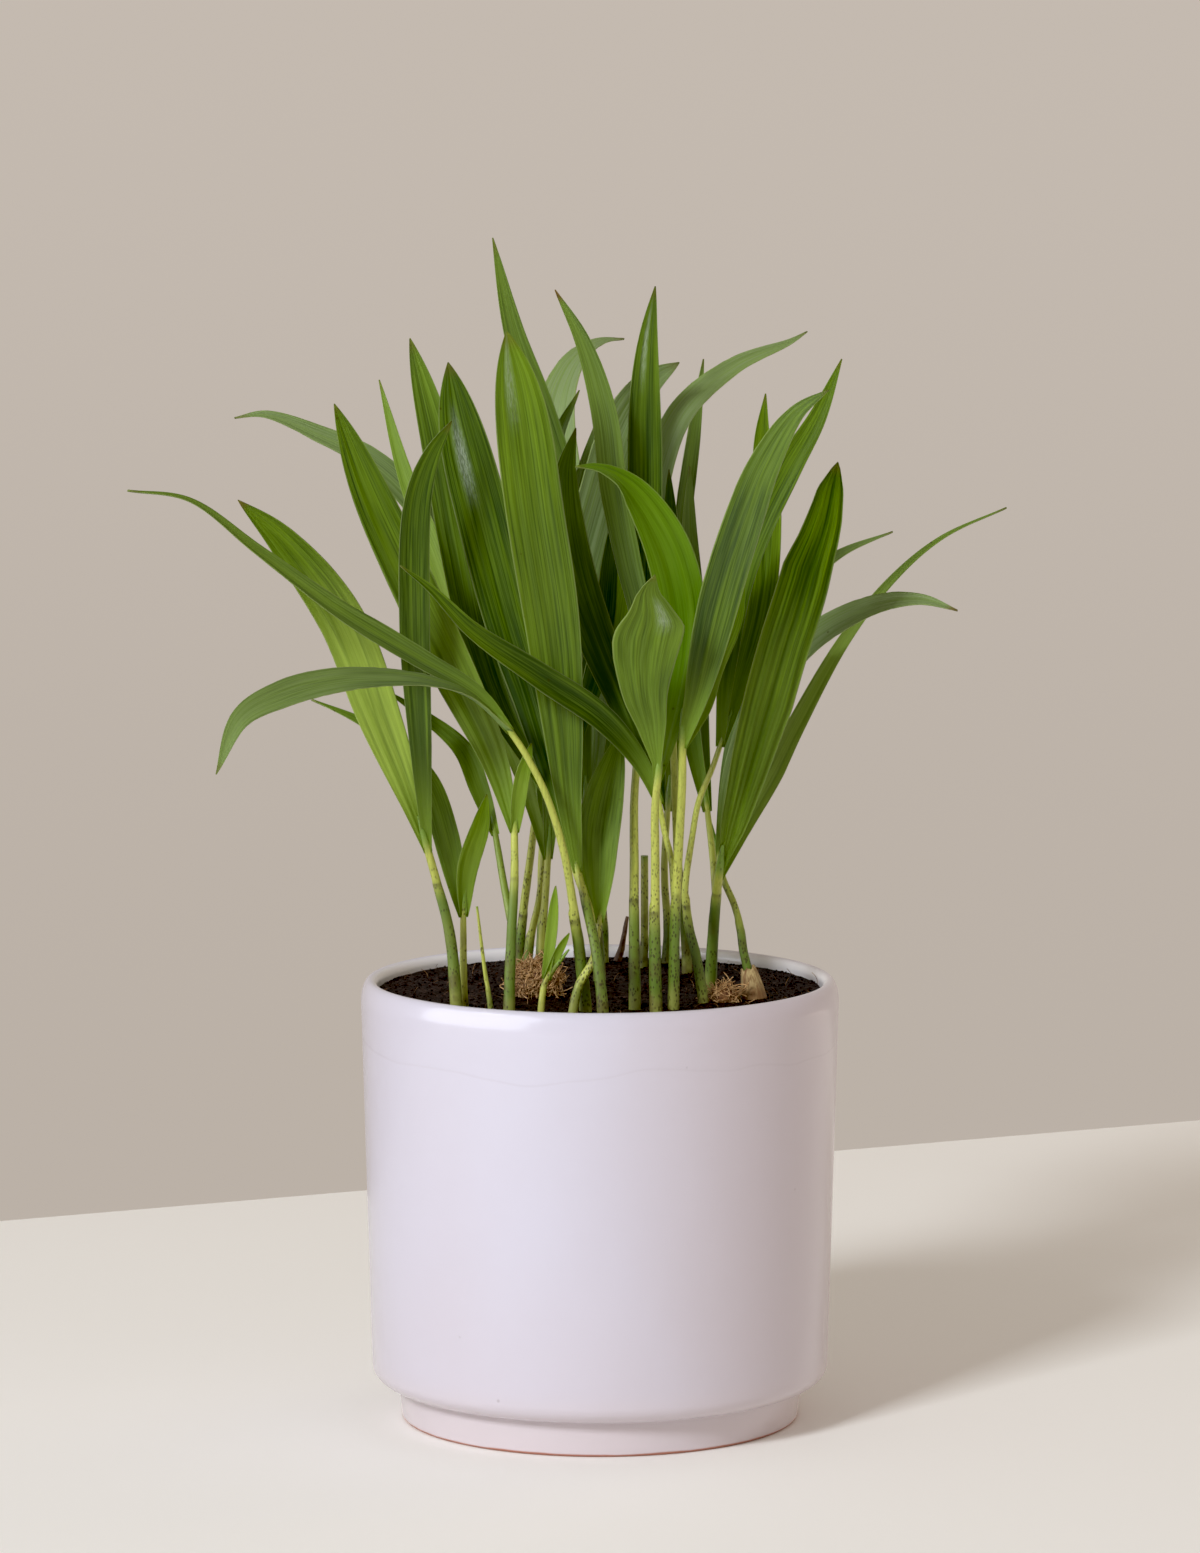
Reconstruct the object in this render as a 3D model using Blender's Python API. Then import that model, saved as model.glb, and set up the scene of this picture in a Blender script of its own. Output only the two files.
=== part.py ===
"""A young areca palm in a glazed pot: slender seedlings with two-lobed, pleated leaves, standing in soil.

Metres and +Z up in the scene, and millimetres in the tables here. The origin is the middle of the pot's
underside, the front of the plant faces -Y, and +X is to its right.
"""

import math
from collections import namedtuple

import bmesh
import bpy
import numpy as np

MM = 0.001
TOUCHING_GAP = 0.3

# The pot, a turned cylinder with a soft lip, a soft shoulder and a stepped foot
POT_HEIGHT = 130.0
POT_RADIUS = 70.0
POT_LOW_RADIUS = 67.1
LIP_INNER_RADIUS = 65.0
LIP_CROWN_RADIUS = 67.3
LIP_OUTER_DROP = 6.5
LIP_INNER_DROP = 3.0
SHOULDER_TOP = 16.0
FOOT_HEIGHT = 10.4
FOOT_RADIUS = 59.5
FOOT_LOW_RADIUS = 58.3
FOOT_EDGE = 0.9
FLOOR_THICKNESS = 8.0
INNER_LOW_RADIUS = 60.5
INNER_CORNER = 13.0
POT_SIDES = 48

# The soil, a little below the lip, with low humps
SOIL_TOP = 126.4
SOIL_HUMP = 0.7
SOIL_HUMP_SIZE = (9.0, 11.0)
SOIL_EDGE_DROP = 1.0
SOIL_RINGS = (0.985, 0.8, 0.55, 0.28)
SOIL_SIDES = POT_SIDES // 2
HOLE_DEPTH = 12.0
HOLE_CUTTER_RISE = 11.0

# Blades, with a row of corners each span and one more row near the tip
BLADE_THICKNESS = 0.9
BLADE_SPAN = 19.0
BLADE_LEAST_SPANS = 5
BLADE_TIP_ROW = 0.35
BLADE_ROOT_WIDTH = 2.4
BLADE_TIP_WIDTH = 0.9
BLADE_SUNK = 3.0

# Stalks, each with a sheath that ends about a third of the way up
STALK_SIDES = 7
STALK_SPAN = 13.0
STALK_LEAST_SPANS = 3
STALK_PAST_NECK = 7.0
SHEATH_SWELL = 0.12
SHEATH_END = 0.3
SHEATH_LENGTH = 0.14

# How far the eye is in front of the pot's middle, and how high
EYE_DISTANCE = 1800.0
EYE_HEIGHT = 402.0

# A lobe's path runs from the neck of its leaf to its tip. Its width is the widest, found at the share
# `widest` of its length. A low `tip` gives a long fine point and a high one a blunt point. It faces `face`
# at the neck and `end` at the tip: degrees turned to the right of the front, and degrees tipped up. `fold`
# raises both margins towards that face, and `pleat` the middle of each half.
Lobe = namedtuple("Lobe", "path width widest tip face end fold pleat")
# A leaf has a stalk, thick at its foot and thinner at its neck (two radii), and its lobes.
Leaf = namedtuple("Leaf", "stalk thick lobes")
Seedling = namedtuple("Seedling", "name foot leaves")


def lobe(path, width, widest=0.5, tip=2.5, face=(0, 0), end=None, fold=0.18, pleat=0.12):
    return Lobe(path, width, widest, tip, face, face if end is None else end, fold, pleat)


# Every point of a stalk or a lobe is (across, up, depth): where it is seen from the front on the upright
# plane through the pot's middle, and how far behind that plane it is. A foot is (x, y) on the soil.
SEEDLINGS = [
    Seedling("leafy_stem_01", (-41, -42), [
        Leaf([(-44, 143, -43), (-48, 159, -45), (-51, 170, -46)], (2.3, 1.3), [
            lobe([(-55, 182, -46), (-64, 206, -49), (-75, 235, -55), (-92, 258, -63), (-105, 270, -70)],
                 13.5, widest=0.5, tip=1.9, face=(8, 5), end=(-25, 25)),
            lobe([(-52, 194, -50), (-54, 235, -55), (-53, 270, -58), (-49, 283, -58), (-43, 293, -57)],
                 9.5, widest=0.6, face=(-14, 0), end=(22, 0)),
        ]),
    ]),
    Seedling("leafy_stem_02", (-39, -35), [
        Leaf([(-40, 130, -36), (-40, 141, -36), (-40, 151, -37)], (1.7, 1.0), [
            lobe([(-45, 172, -37), (-50, 187, -37), (-58, 197, -36), (-69, 205, -36), (-84, 212, -36)],
                 7.5, widest=0.3, tip=1.7, face=(-10, 5), end=(0, 65)),
            lobe([(-39, 162, -39), (-35, 175, -42), (-33, 184, -44)], 6.5, face=(20, 0)),
        ]),
    ]),
    Seedling("leafy_stem_03", (-26, -49), [
        Leaf([(-26, 141, -49), (-25, 160, -48), (-25, 176, -46)], (2.1, 1.2), [
            lobe([(-31, 195, -44), (-44, 223, -42), (-57, 251, -43), (-67, 273, -45), (-77, 298, -48)],
                 13.5, widest=0.33, tip=2.2, face=(-6, 0), end=(8, 0)),
            lobe([(-23, 188, -48), (-20, 199, -49)], 4.5, face=(15, 0)),
        ]),
        Leaf([(-26, 147, -48), (-28, 157, -45), (-31, 175, -39)], (1.5, 1.0), [
            lobe([(-35, 185, -37), (-40, 197, -34), (-50, 206, -31), (-63, 215, -30)],
                 6.0, widest=0.35, tip=1.6, face=(0, 10), end=(0, 55)),
        ]),
    ]),
    Seedling("leafy_stem_04", (-4, -45), [
        Leaf([(-6, 138, -48), (-8, 151, -53), (-11, 168, -56), (-16, 184, -58), (-22, 196, -59),
              (-28, 205, -59)], (2.2, 1.2), [
            lobe([(-38, 213, -66), (-50, 217, -74), (-64, 218, -84), (-78, 217, -95), (-93, 213, -107),
                  (-105, 206, -117), (-112, 190, -124)],
                 8.8, widest=0.62, tip=2.0, face=(0, 78), end=(0, 5)),
            lobe([(-35, 213, -61), (-53, 224, -68), (-76, 238, -79), (-99, 255, -91), (-119, 270, -102),
                  (-137, 273, -113)],
                 7.6, widest=0.45, tip=1.5, face=(0, 25), end=(0, 50), fold=0.5),
        ]),
    ]),
    Seedling("leafy_stem_05", (1, -55), [
        Leaf([(-1, 137, -54), (-4, 151, -49), (-7, 164, -46)], (2.1, 1.3), [
            lobe([(-9, 182, -48), (-11, 206, -50), (-14, 235, -53), (-19, 267, -57), (-23, 296, -61),
                  (-27, 319, -64)], 16.5, widest=0.62, tip=2.7, face=(-5, 0), end=(6, 8)),
            lobe([(-12, 185, -42), (-19, 212, -39), (-26, 235, -38), (-35, 270, -38), (-40, 290, -40),
                  (-44, 310, -42)], 15.5, widest=0.62, tip=2.7, face=(-18, 0), end=(-8, 12)),
        ]),
        Leaf([(-2, 143, -52), (-3, 150, -48), (-7, 161, -42), (-13, 182, -34)], (1.4, 1.1), [
            lobe([(-20, 193, -32), (-28, 207, -29), (-36, 229, -26), (-42, 258, -23), (-48, 290, -20),
                  (-55, 317, -18)], 9.0, widest=0.6, tip=2.4, face=(10, 0)),
            lobe([(-7, 203, -30), (-2, 218, -26), (1, 235, -23), (3, 255, -21), (5, 270, -20)],
                 7.0, face=(25, 0)),
        ]),
    ]),
    Seedling("leafy_stem_06", (-17, -50), [
        Leaf([(-16, 129, -50), (-14, 132, -50.5)], (1.4, 1.0), [
            lobe([(-14, 144, -52), (-13, 157, -53)], 3.4, face=(-20, 0)),
            lobe([(-12, 138, -52), (-9, 143, -53)], 2.6, face=(20, 0)),
        ]),
    ]),
    Seedling("leafy_stem_07", (-8, -51), [
        Leaf([(-6, 128, -50.5), (-2, 135, -50), (-1, 142, -46), (0, 149, -43)], (1.6, 1.3), [
            lobe([(1, 162, -41), (2, 176, -38), (5, 188, -35), (8, 200, -32)],
                 12.5, widest=0.5, tip=2.0, face=(10, 0), fold=0.45),
        ]),
    ]),
    Seedling("leafy_stem_08", (0, 12), [
        Leaf([(-1, 144, 10), (-3, 159, 8), (-4, 182, 4)], (2.2, 1.6), [
            lobe([(-2, 200, 8), (-4, 229, 14), (-9, 258, 22), (-13, 285, 28), (-12, 300, 34),
                  (-7, 311, 42), (0, 316, 49), (7, 317, 55)],
                 14.0, widest=0.55, tip=2.0, face=(-10, 0), end=(-25, 45)),
            lobe([(-5, 206, 0), (-6, 235, -3), (-11, 273, -6), (-17, 295, -8), (-25, 319, -9),
                  (-31, 346, -8)], 9.0, widest=0.6, tip=2.1, face=(12, 0)),
        ]),
    ]),
    Seedling("leafy_stem_09", (16, -45), [
        Leaf([(16, 141, -46), (16, 165, -48), (16, 181, -50), (17, 191, -51)], (2.2, 1.4), [
            lobe([(16, 203, -55), (14, 215, -60), (14, 228, -66), (15, 240, -73), (16, 248, -79)],
                 20.0, widest=0.62, tip=1.9, face=(-6, 0), end=(12, 25), fold=0.12),
            lobe([(19, 200, -47), (22, 215, -45), (24, 235, -46), (19, 257, -50), (8, 274, -55),
                  (0, 279, -60), (-7, 280, -65)], 12.5, widest=0.52, tip=2.2, face=(6, 0), end=(-10, 55)),
        ]),
    ]),
    Seedling("leafy_stem_10", (21, -42), [
        Leaf([(22, 148, -43), (23, 168, -45), (24, 188, -47), (24, 201, -48)], (2.0, 1.3), [
            lobe([(28, 212, -50), (35, 241, -56), (42, 264, -62), (48, 280, -67), (57, 295, -74),
                  (66, 302, -80)], 11.5, widest=0.42, tip=2.6, face=(-8, 5), end=(-20, 25)),
            lobe([(30, 210, -42), (33, 221, -40), (39, 235, -38), (42, 248, -37)], 6.0, face=(25, 0)),
        ]),
        Leaf([(22, 154, -43), (21, 165, -41), (19, 173, -40), (17, 184, -40)], (1.5, 1.0), [
            lobe([(12, 193, -43), (1, 206, -52), (-18, 219, -63), (-37, 232, -73), (-49, 244, -78),
                  (-58, 251, -81)], 8.0, widest=0.42, tip=1.6, face=(0, 15), end=(0, 30)),
            lobe([(12, 197, -38), (6, 212, -37), (-1, 229, -36), (-7, 247, -36), (-10, 264, -37),
                  (-10, 279, -38), (-7, 291, -38)], 12.0, widest=0.6, tip=2.2, face=(18, 0)),
        ]),
    ]),
    Seedling("leafy_stem_11", (32, -14), [
        Leaf([(33, 141, -16), (34, 154, -21), (35, 162, -24)], (2.3, 1.5), [
            lobe([(41, 182, -30), (47, 204, -37), (54, 228, -44), (61, 248, -50), (66, 267, -55),
                  (69, 281, -59)], 15.5, widest=0.6, tip=2.5, face=(-4, 0), end=(6, 0), pleat=0.2),
            lobe([(42, 175, -20), (50, 190, -15), (57, 204, -9), (71, 229, 0), (85, 247, 7),
                  (99, 259, 14), (118, 268, 22)], 7.5, widest=0.33, tip=1.3, face=(10, 0), end=(0, 60)),
        ]),
        Leaf([(34, 153, -20), (33, 165, -17), (31, 182, -14)], (1.5, 1.0), [
            lobe([(27, 200, -11), (23, 226, -8), (21, 253, -8), (20, 279, -8)], 7.5, face=(-15, 0)),
            lobe([(29, 206, -6), (28, 229, -2), (26, 258, 2), (26, 280, 4)], 6.5, face=(15, 0)),
        ]),
    ]),
    Seedling("leafy_stem_12", (45, -21), [
        Leaf([(42, 138, -19), (41, 145, -17), (39, 152, -15), (36, 159, -13), (34, 168, -10)], (1.7, 1.1), [
            lobe([(39, 191, -11), (48, 213, -13), (61, 229, -16), (79, 239, -20), (93, 241, -24),
                  (104, 238, -28)], 7.2, widest=0.55, tip=1.8, face=(0, 15), end=(0, 50)),
            lobe([(39, 197, -5), (48, 226, 2), (58, 244, 9), (69, 254, 17), (85, 261, 28)],
                 6.5, widest=0.45, tip=1.7, face=(0, 10), end=(0, 60)),
        ]),
    ]),
    Seedling("leafy_stem_13", (30, -32), [
        Leaf([(28, 137, -32), (26, 145, -31), (25, 155, -30), (27, 171, -29), (29, 182, -28),
              (33, 192, -27), (36, 201, -26)], (1.9, 1.0), [
            lobe([(40, 218, -23), (45, 238, -19), (47, 256, -15), (48, 273, -11), (47, 288, -8),
                  (48, 301, -5)], 11.0, widest=0.5, tip=1.8, face=(10, 0)),
            lobe([(37, 221, -29), (41, 247, -31), (47, 264, -32), (55, 280, -33), (63, 294, -34),
                  (70, 311, -35)], 8.5, widest=0.62, tip=1.8, face=(-12, 0), end=(-5, 10)),
        ]),
    ]),
    Seedling("leafy_stem_14", (10, -38), [
        Leaf([(10, 143, -36), (10, 164, -32), (10, 182, -29), (11, 197, -26)], (2.1, 1.3), [
            lobe([(13, 226, -23), (13, 256, -22), (13, 279, -22), (13, 302, -22), (14, 318, -22),
                  (16, 332, -22)], 10.0, widest=0.6, tip=2.0, face=(-6, 0), end=(8, 0), fold=0.3),
            lobe([(13, 215, -29), (12, 235, -31), (8, 253, -32), (4, 273, -32), (1, 296, -32),
                  (-5, 316, -32), (-13, 331, -33)], 8.0, widest=0.6, tip=2.2, face=(8, 0), end=(0, 8)),
        ]),
    ]),
    Seedling("leafy_stem_15", (26, 29), [
        Leaf([(25, 143, 28), (23, 162, 24), (22, 182, 19), (21, 212, 13)], (1.9, 1.1), [
            lobe([(17, 235, 6), (15, 258, 4), (17, 279, 4), (24, 296, 6), (39, 309, 12), (55, 316, 20),
                  (60, 319, 24)], 8.8, widest=0.5, tip=1.6, face=(-10, 0), end=(-10, 30)),
            lobe([(23, 235, 14), (24, 264, 16), (27, 288, 22), (30, 311, 30)], 5.5, face=(25, 0)),
        ]),
    ]),
    Seedling("leafy_stem_16", (-17, -8), [
        Leaf([(-17, 140, -8), (-16, 153, -9), (-15, 168, -10)], (1.7, 1.2), [
            lobe([(-13, 200, -13), (-8, 241, -15), (0, 273, -14), (6, 292, -10), (14, 304, -5),
                  (23, 310, -3)], 9.0, widest=0.6, tip=2.6, face=(15, 0)),
            lobe([(-23, 191, -8), (-33, 215, -4), (-47, 253, 2), (-56, 276, 6), (-64, 305, 10)],
                 5.5, widest=0.55, tip=1.9, face=(-15, 0)),
        ]),
    ]),
    Seedling("leafy_stem_17", (-22, 10), [
        Leaf([(-20, 144, 9), (-18, 153, 8), (-16, 173, 6)], (1.8, 1.2), [
            lobe([(-16, 212, 2), (-15, 253, 2), (-13, 286, 4), (-6, 302, 8)], 8.0, face=(-15, 0)),
            lobe([(-12, 212, 8), (-9, 241, 6), (-6, 270, 6), (-1, 293, 7)], 8.0, face=(20, 0)),
        ]),
    ]),
    Seedling("leafy_stem_18", (-24, 27), [
        Leaf([(-23, 144, 26), (-20, 168, 24), (-18, 184, 21)], (1.9, 1.2), [
            lobe([(-23, 206, 20), (-32, 232, 18), (-42, 253, 17), (-54, 270, 17), (-67, 282, 19),
                  (-81, 289, 23), (-97, 295, 28), (-106, 294, 32)],
                 8.5, widest=0.55, tip=1.9, face=(-5, 10), end=(0, 40)),
            lobe([(-15, 206, 30), (-9, 235, 48), (-3, 264, 68), (3, 290, 88)], 10.0, face=(20, 35)),
        ]),
    ]),
    Seedling("leafy_stem_19", (-18, 42), [
        Leaf([(-17, 143, 42), (-17, 162, 41), (-16, 182, 40)], (2.0, 1.3), [
            lobe([(-23, 212, 52), (-32, 241, 68), (-38, 264, 86)], 11.0, face=(-25, 35)),
            lobe([(-13, 212, 50), (-9, 241, 64), (-4, 267, 82)], 10.0, face=(5, 35)),
        ]),
    ]),
    Seedling("leafy_stem_20", (1, 51), [
        Leaf([(1, 143, 50), (0, 162, 49), (-1, 179, 47)], (2.0, 1.3), [
            lobe([(-3, 212, 60), (-8, 241, 78), (-12, 264, 98)], 11.0, face=(-10, 40)),
            lobe([(3, 212, 54), (7, 241, 66), (12, 270, 82)], 10.0, face=(20, 30)),
        ]),
    ]),
    Seedling("leafy_stem_21", (20, 50), [
        Leaf([(20, 143, 49), (19, 162, 48), (20, 182, 46)], (2.0, 1.3), [
            lobe([(17, 212, 58), (15, 241, 74), (15, 264, 92)], 11.0, face=(-5, 40)),
            lobe([(24, 212, 56), (31, 238, 70), (39, 261, 86)], 10.0, face=(30, 35)),
        ]),
    ]),
]

# Bare shoots: (name, foot, stalk, radii)
BARE_SHOOTS = [
    ("spear_shoot", (-31, -46), [(-34, 134, -46), (-36, 151, -46)], (1.2, 0.4)),
    ("cut_stub", (13, 47), [(13, 141, 46), (13, 166, 45)], (1.5, 1.3)),
    ("dry_stub", (5, 57), [(6, 138, 57), (8, 148, 57)], (2.4, 0.6)),
]

# The seed that seedling 16 grew from, and the old seed between seedlings 12 and 13:
# (name, spot on the soil, half sizes, middle height)
SEEDS = [
    ("fibrous_seed", (-19, -12), (6.6, 5.6, 5.6), 130.5),
    ("seed_husk", (35.5, -26), (4.2, 3.4, 3.2), 128.0),
]
SEED_RIDGE = 0.07
SEED_RIDGES = 9
SEED_BED_ROOM = 0.85

# The dry collar round the foot of one seedling
HUSK_OWNER = "leafy_stem_12"
HUSK_INNER_GAP = 0.35
HUSK_WALL = 0.9
HUSK_RAISED = 1.2
HUSK_HEIGHT = 8.0
HUSK_SWELL = 0.9
HUSK_TEAR = 0.9
HUSK_TEETH = 5
HUSK_FROM, HUSK_TO = -60, 230
HUSK_SIDES = 14
HUSK_ROWS = 5

LEAF_GREEN = (0.10, 0.24, 0.025)
STALK_GREEN = (0.28, 0.38, 0.06)
GLAZE_WHITE = (0.80, 0.78, 0.83)
SOIL_BROWN = (0.022, 0.012, 0.010)
SEED_TAN = (0.32, 0.20, 0.10)
HUSK_TAN = (0.45, 0.36, 0.18)
DRY_BROWN = (0.07, 0.04, 0.02)


# Points and curves

def seen(across, up, depth):
    """The point that the eye sees at (across, up) on the upright middle plane, moved along its sight line."""
    grow = 1 + depth / EYE_DISTANCE
    return (across * grow, depth, EYE_HEIGHT + (up - EYE_HEIGHT) * grow)


def curve_points(points, points_apart=0.8):
    """Many points along a smooth curve through the given ones (a centripetal Catmull-Rom spline)."""
    ends = [2 * points[0] - points[1], 2 * points[-1] - points[-2]]
    chain = [ends[0], *points, ends[1]]
    found = []
    for a, b, c, d in zip(chain, chain[1:], chain[2:], chain[3:]):
        times = np.cumsum([0] + [math.sqrt(np.linalg.norm(q - p)) for p, q in ((a, b), (b, c), (c, d))])
        steps = max(2, int(np.linalg.norm(c - b) / points_apart))
        for at in np.linspace(times[1], times[2], steps, endpoint=False):
            ab = a + (b - a) * (at - times[0]) / (times[1] - times[0])
            bc = b + (c - b) * (at - times[1]) / (times[2] - times[1])
            cd = c + (d - c) * (at - times[2]) / (times[3] - times[2])
            abc = ab + (bc - ab) * (at - times[0]) / (times[2] - times[0])
            bcd = bc + (cd - bc) * (at - times[1]) / (times[3] - times[1])
            found.append(abc + (bcd - abc) * (at - times[1]) / (times[2] - times[1]))
    found.append(points[-1])
    return np.array(found)


def along(points, shares):
    """Points of a smooth curve at the given shares of its length."""
    dense = curve_points([np.array(point, float) for point in points])
    lengths = np.concatenate([[0], np.cumsum(np.linalg.norm(np.diff(dense, axis=0), axis=1))])
    wanted = np.array(shares) * lengths[-1]
    return np.stack([np.interp(wanted, lengths, dense[:, k]) for k in range(3)], axis=1)


def length_of(points):
    dense = along(points, np.linspace(0, 1, 60))
    return float(np.linalg.norm(np.diff(dense, axis=0), axis=1).sum())


def unit(vector):
    return vector / np.linalg.norm(vector)


def directions(points):
    return np.array([unit(v) for v in np.gradient(points, axis=0)])


def facing(turn, tip_up):
    turn, tip_up = math.radians(turn), math.radians(tip_up)
    level = math.cos(tip_up)
    return np.array([math.sin(turn) * level, -math.cos(turn) * level, math.sin(tip_up)])


# Solids

def new_object(name, points, faces, collection=None):
    mesh = bpy.data.meshes.new(name)
    mesh.from_pydata([[value * MM for value in point] for point in points], [], faces)
    thing = bpy.data.objects.new(name, mesh)
    (collection or bpy.context.scene.collection).objects.link(thing)
    return thing


def tube(name, points, radii, sides, collection=None):
    """A round bar along the points, with a radius at each and flat ends."""
    ahead = directions(points)
    side = unit(np.cross(ahead[0], (0, 1, 0.01)))
    corners, faces = [], []
    for place, forward, radius in zip(points, ahead, radii):
        side = unit(side - forward * side.dot(forward))
        other = np.cross(forward, side)
        for k in range(sides):
            turn = 2 * math.pi * k / sides
            corners.append(place + radius * (math.cos(turn) * side + math.sin(turn) * other))
    for ring in range(len(points) - 1):
        low, high = ring * sides, (ring + 1) * sides
        for k in range(sides):
            after = (k + 1) % sides
            faces.append((low + k, low + after, high + after, high + k))
    faces.append(tuple(range(sides - 1, -1, -1)))
    last = (len(points) - 1) * sides
    faces.append(tuple(range(last, last + sides)))
    return new_object(name, corners, faces, collection)


def lance_width(share, shape):
    """The blade's width at a share of its length: a quick swell from the neck, then a point."""
    if share < shape.widest:
        swell = math.sin(math.pi / 2 * share / shape.widest)
        return BLADE_ROOT_WIDTH + (shape.width - BLADE_ROOT_WIDTH) * swell
    past = (share - shape.widest) / (1 - shape.widest)
    return BLADE_TIP_WIDTH + (shape.width - BLADE_TIP_WIDTH) * (1 - past**shape.tip)


def blade(name, path, shape, collection):
    """A folded and pleated lance-shaped blade, split into triangles alike on both faces."""
    spans = max(BLADE_LEAST_SPANS, round(length_of(path) / BLADE_SPAN))
    shares = [k / spans for k in range(spans)] + [1 - BLADE_TIP_ROW / spans, 1]
    spine = along(path, shares)
    ahead = directions(spine)
    across = (-1, -0.5, 0, 0.5, 1)
    front, back = [], []
    for share, place, forward in zip(shares, spine, ahead):
        turn, tip_up = (a + (b - a) * share for a, b in zip(shape.face, shape.end))
        towards = facing(turn, tip_up)
        towards = unit(towards - forward * towards.dot(forward))
        side = np.cross(forward, towards)
        half = lance_width(share, shape) / 2
        for s in across:
            raised = shape.fold * abs(s) + shape.pleat * (1 - abs(2 * abs(s) - 1))
            corner = place + side * (s * half) + towards * (raised * half)
            front.append(corner)
            back.append(corner - towards * BLADE_THICKNESS)
    count, wide = len(front), len(across)
    faces = []
    for row in range(len(shares) - 1):
        for k in range(wide - 1):
            a = row * wide + k
            b, c, d = a + 1, a + wide + 1, a + wide
            for corners in ((a, b, c), (a, c, d)) if k < wide // 2 else ((a, b, d), (b, c, d)):
                faces.append(corners)
                faces.append(tuple(count + corner for corner in reversed(corners)))
        a, d = row * wide, (row + 1) * wide
        faces.append((count + a, a, d))
        faces.append((count + a, d, count + d))
        a, d = a + wide - 1, d + wide - 1
        faces.append((a, count + a, d))
        faces.append((count + a, count + d, d))
    for row, turned_round in ((0, True), (len(shares) - 1, False)):
        for k in range(wide - 1):
            a = row * wide + k
            quad = (a, a + 1, count + a + 1, count + a)
            faces.append(quad[::-1] if turned_round else quad)
    return new_object(name, front + back, faces, collection)


def turned(name, outline, sides):
    """A solid turned round the Z axis from an outline of (radius, height), bottom middle to top middle."""
    points, rings, faces = [], [], []
    for radius, height in outline:
        if radius == 0:
            rings.append([len(points)])
            points.append((0, 0, height))
            continue
        rings.append(list(range(len(points), len(points) + sides)))
        for k in range(sides):
            turn = 2 * math.pi * k / sides
            points.append((radius * math.cos(turn), radius * math.sin(turn), height))
    for low, high in zip(rings, rings[1:]):
        for k in range(sides):
            after = (k + 1) % sides
            if len(low) == 1:
                faces.append((low[0], high[after], high[k]))
            elif len(high) == 1:
                faces.append((low[k], low[after], high[0]))
            else:
                faces.append((low[k], low[after], high[after], high[k]))
    return new_object(name, points, faces)


def finish(thing, colour, roughness, smooth_angle=40):
    """Faces out, smooth shading and the piece's own material."""
    mesh = thing.data
    work = bmesh.new()
    work.from_mesh(mesh)
    bmesh.ops.recalc_face_normals(work, faces=work.faces)
    work.to_mesh(mesh)
    work.free()
    mesh.shade_smooth()
    mesh.set_sharp_from_angle(angle=math.radians(smooth_angle))
    material = bpy.data.materials.new(thing.name)
    material.use_nodes = True
    shader = material.node_tree.nodes["Principled BSDF"]
    shader.inputs["Base Color"].default_value = (*colour, 1)
    shader.inputs["Roughness"].default_value = roughness
    shader.inputs["Metallic"].default_value = 0
    mesh.materials.clear()
    mesh.materials.append(material)
    return thing


def apply_boolean(thing, operation, others):
    """Joins or cuts with a whole collection, applies it, and removes that collection's objects."""
    for other in others.objects:
        other.hide_render = True
        other.display_type = "WIRE"
    modifier = thing.modifiers.new("whole", "BOOLEAN")
    modifier.operation = operation
    modifier.operand_type = "COLLECTION"
    modifier.collection = others
    modifier.solver = "EXACT"
    bpy.context.view_layer.update()
    result = bpy.data.meshes.new_from_object(thing.evaluated_get(bpy.context.evaluated_depsgraph_get()))
    thing.modifiers.clear()
    thing.data = result
    for other in list(others.objects):
        bpy.data.objects.remove(other)
    bpy.data.collections.remove(others)


def split_into_triangles(thing):
    """Even triangles, so that no wide face with holes in it is left to be split later."""
    work = bmesh.new()
    work.from_mesh(thing.data)
    bmesh.ops.triangulate(work, faces=work.faces, quad_method="BEAUTY", ngon_method="BEAUTY")
    work.to_mesh(thing.data)
    work.free()


def new_collection(name):
    collection = bpy.data.collections.new(name)
    bpy.context.scene.collection.children.link(collection)
    return collection


# The pot and the soil

def quarter(start, end, steps, level_first):
    """Points of a quarter of an ellipse between two points, leaving the first one level or upright."""
    found = []
    for k in range(steps + 1):
        turn = math.pi / 2 * k / steps
        gone, come = math.sin(turn), 1 - math.cos(turn)
        share_out, share_up = (gone, come) if level_first else (come, gone)
        found.append((start[0] + (end[0] - start[0]) * share_out, start[1] + (end[1] - start[1]) * share_up))
    return found


def pot_outline():
    outside = [(0, 0)]
    outside += quarter((FOOT_LOW_RADIUS - FOOT_EDGE, 0), (FOOT_LOW_RADIUS, FOOT_EDGE), 2, True)
    outside += quarter((FOOT_RADIUS, FOOT_HEIGHT), (POT_LOW_RADIUS, SHOULDER_TOP), 3, True)
    outside += quarter((POT_RADIUS, POT_HEIGHT - LIP_OUTER_DROP), (LIP_CROWN_RADIUS, POT_HEIGHT), 3, False)
    rim_inner_edge = (LIP_INNER_RADIUS, POT_HEIGHT - LIP_INNER_DROP)
    inside = quarter((LIP_CROWN_RADIUS, POT_HEIGHT), rim_inner_edge, 2, True)[1:]
    inside += quarter((INNER_LOW_RADIUS, FLOOR_THICKNESS + INNER_CORNER),
                      (INNER_LOW_RADIUS - INNER_CORNER, FLOOR_THICKNESS), 3, False)
    return outside + inside + [(0, FLOOR_THICKNESS)]


def make_pot():
    finish(turned("pot", pot_outline(), POT_SIDES), GLAZE_WHITE, 0.15)


def soil_height(x, y):
    """The soil's slightly uneven top."""
    across, back = x / SOIL_HUMP_SIZE[0], y / SOIL_HUMP_SIZE[1]
    return SOIL_TOP + SOIL_HUMP * math.sin(across + 0.6) * math.cos(back - 0.4)


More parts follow.
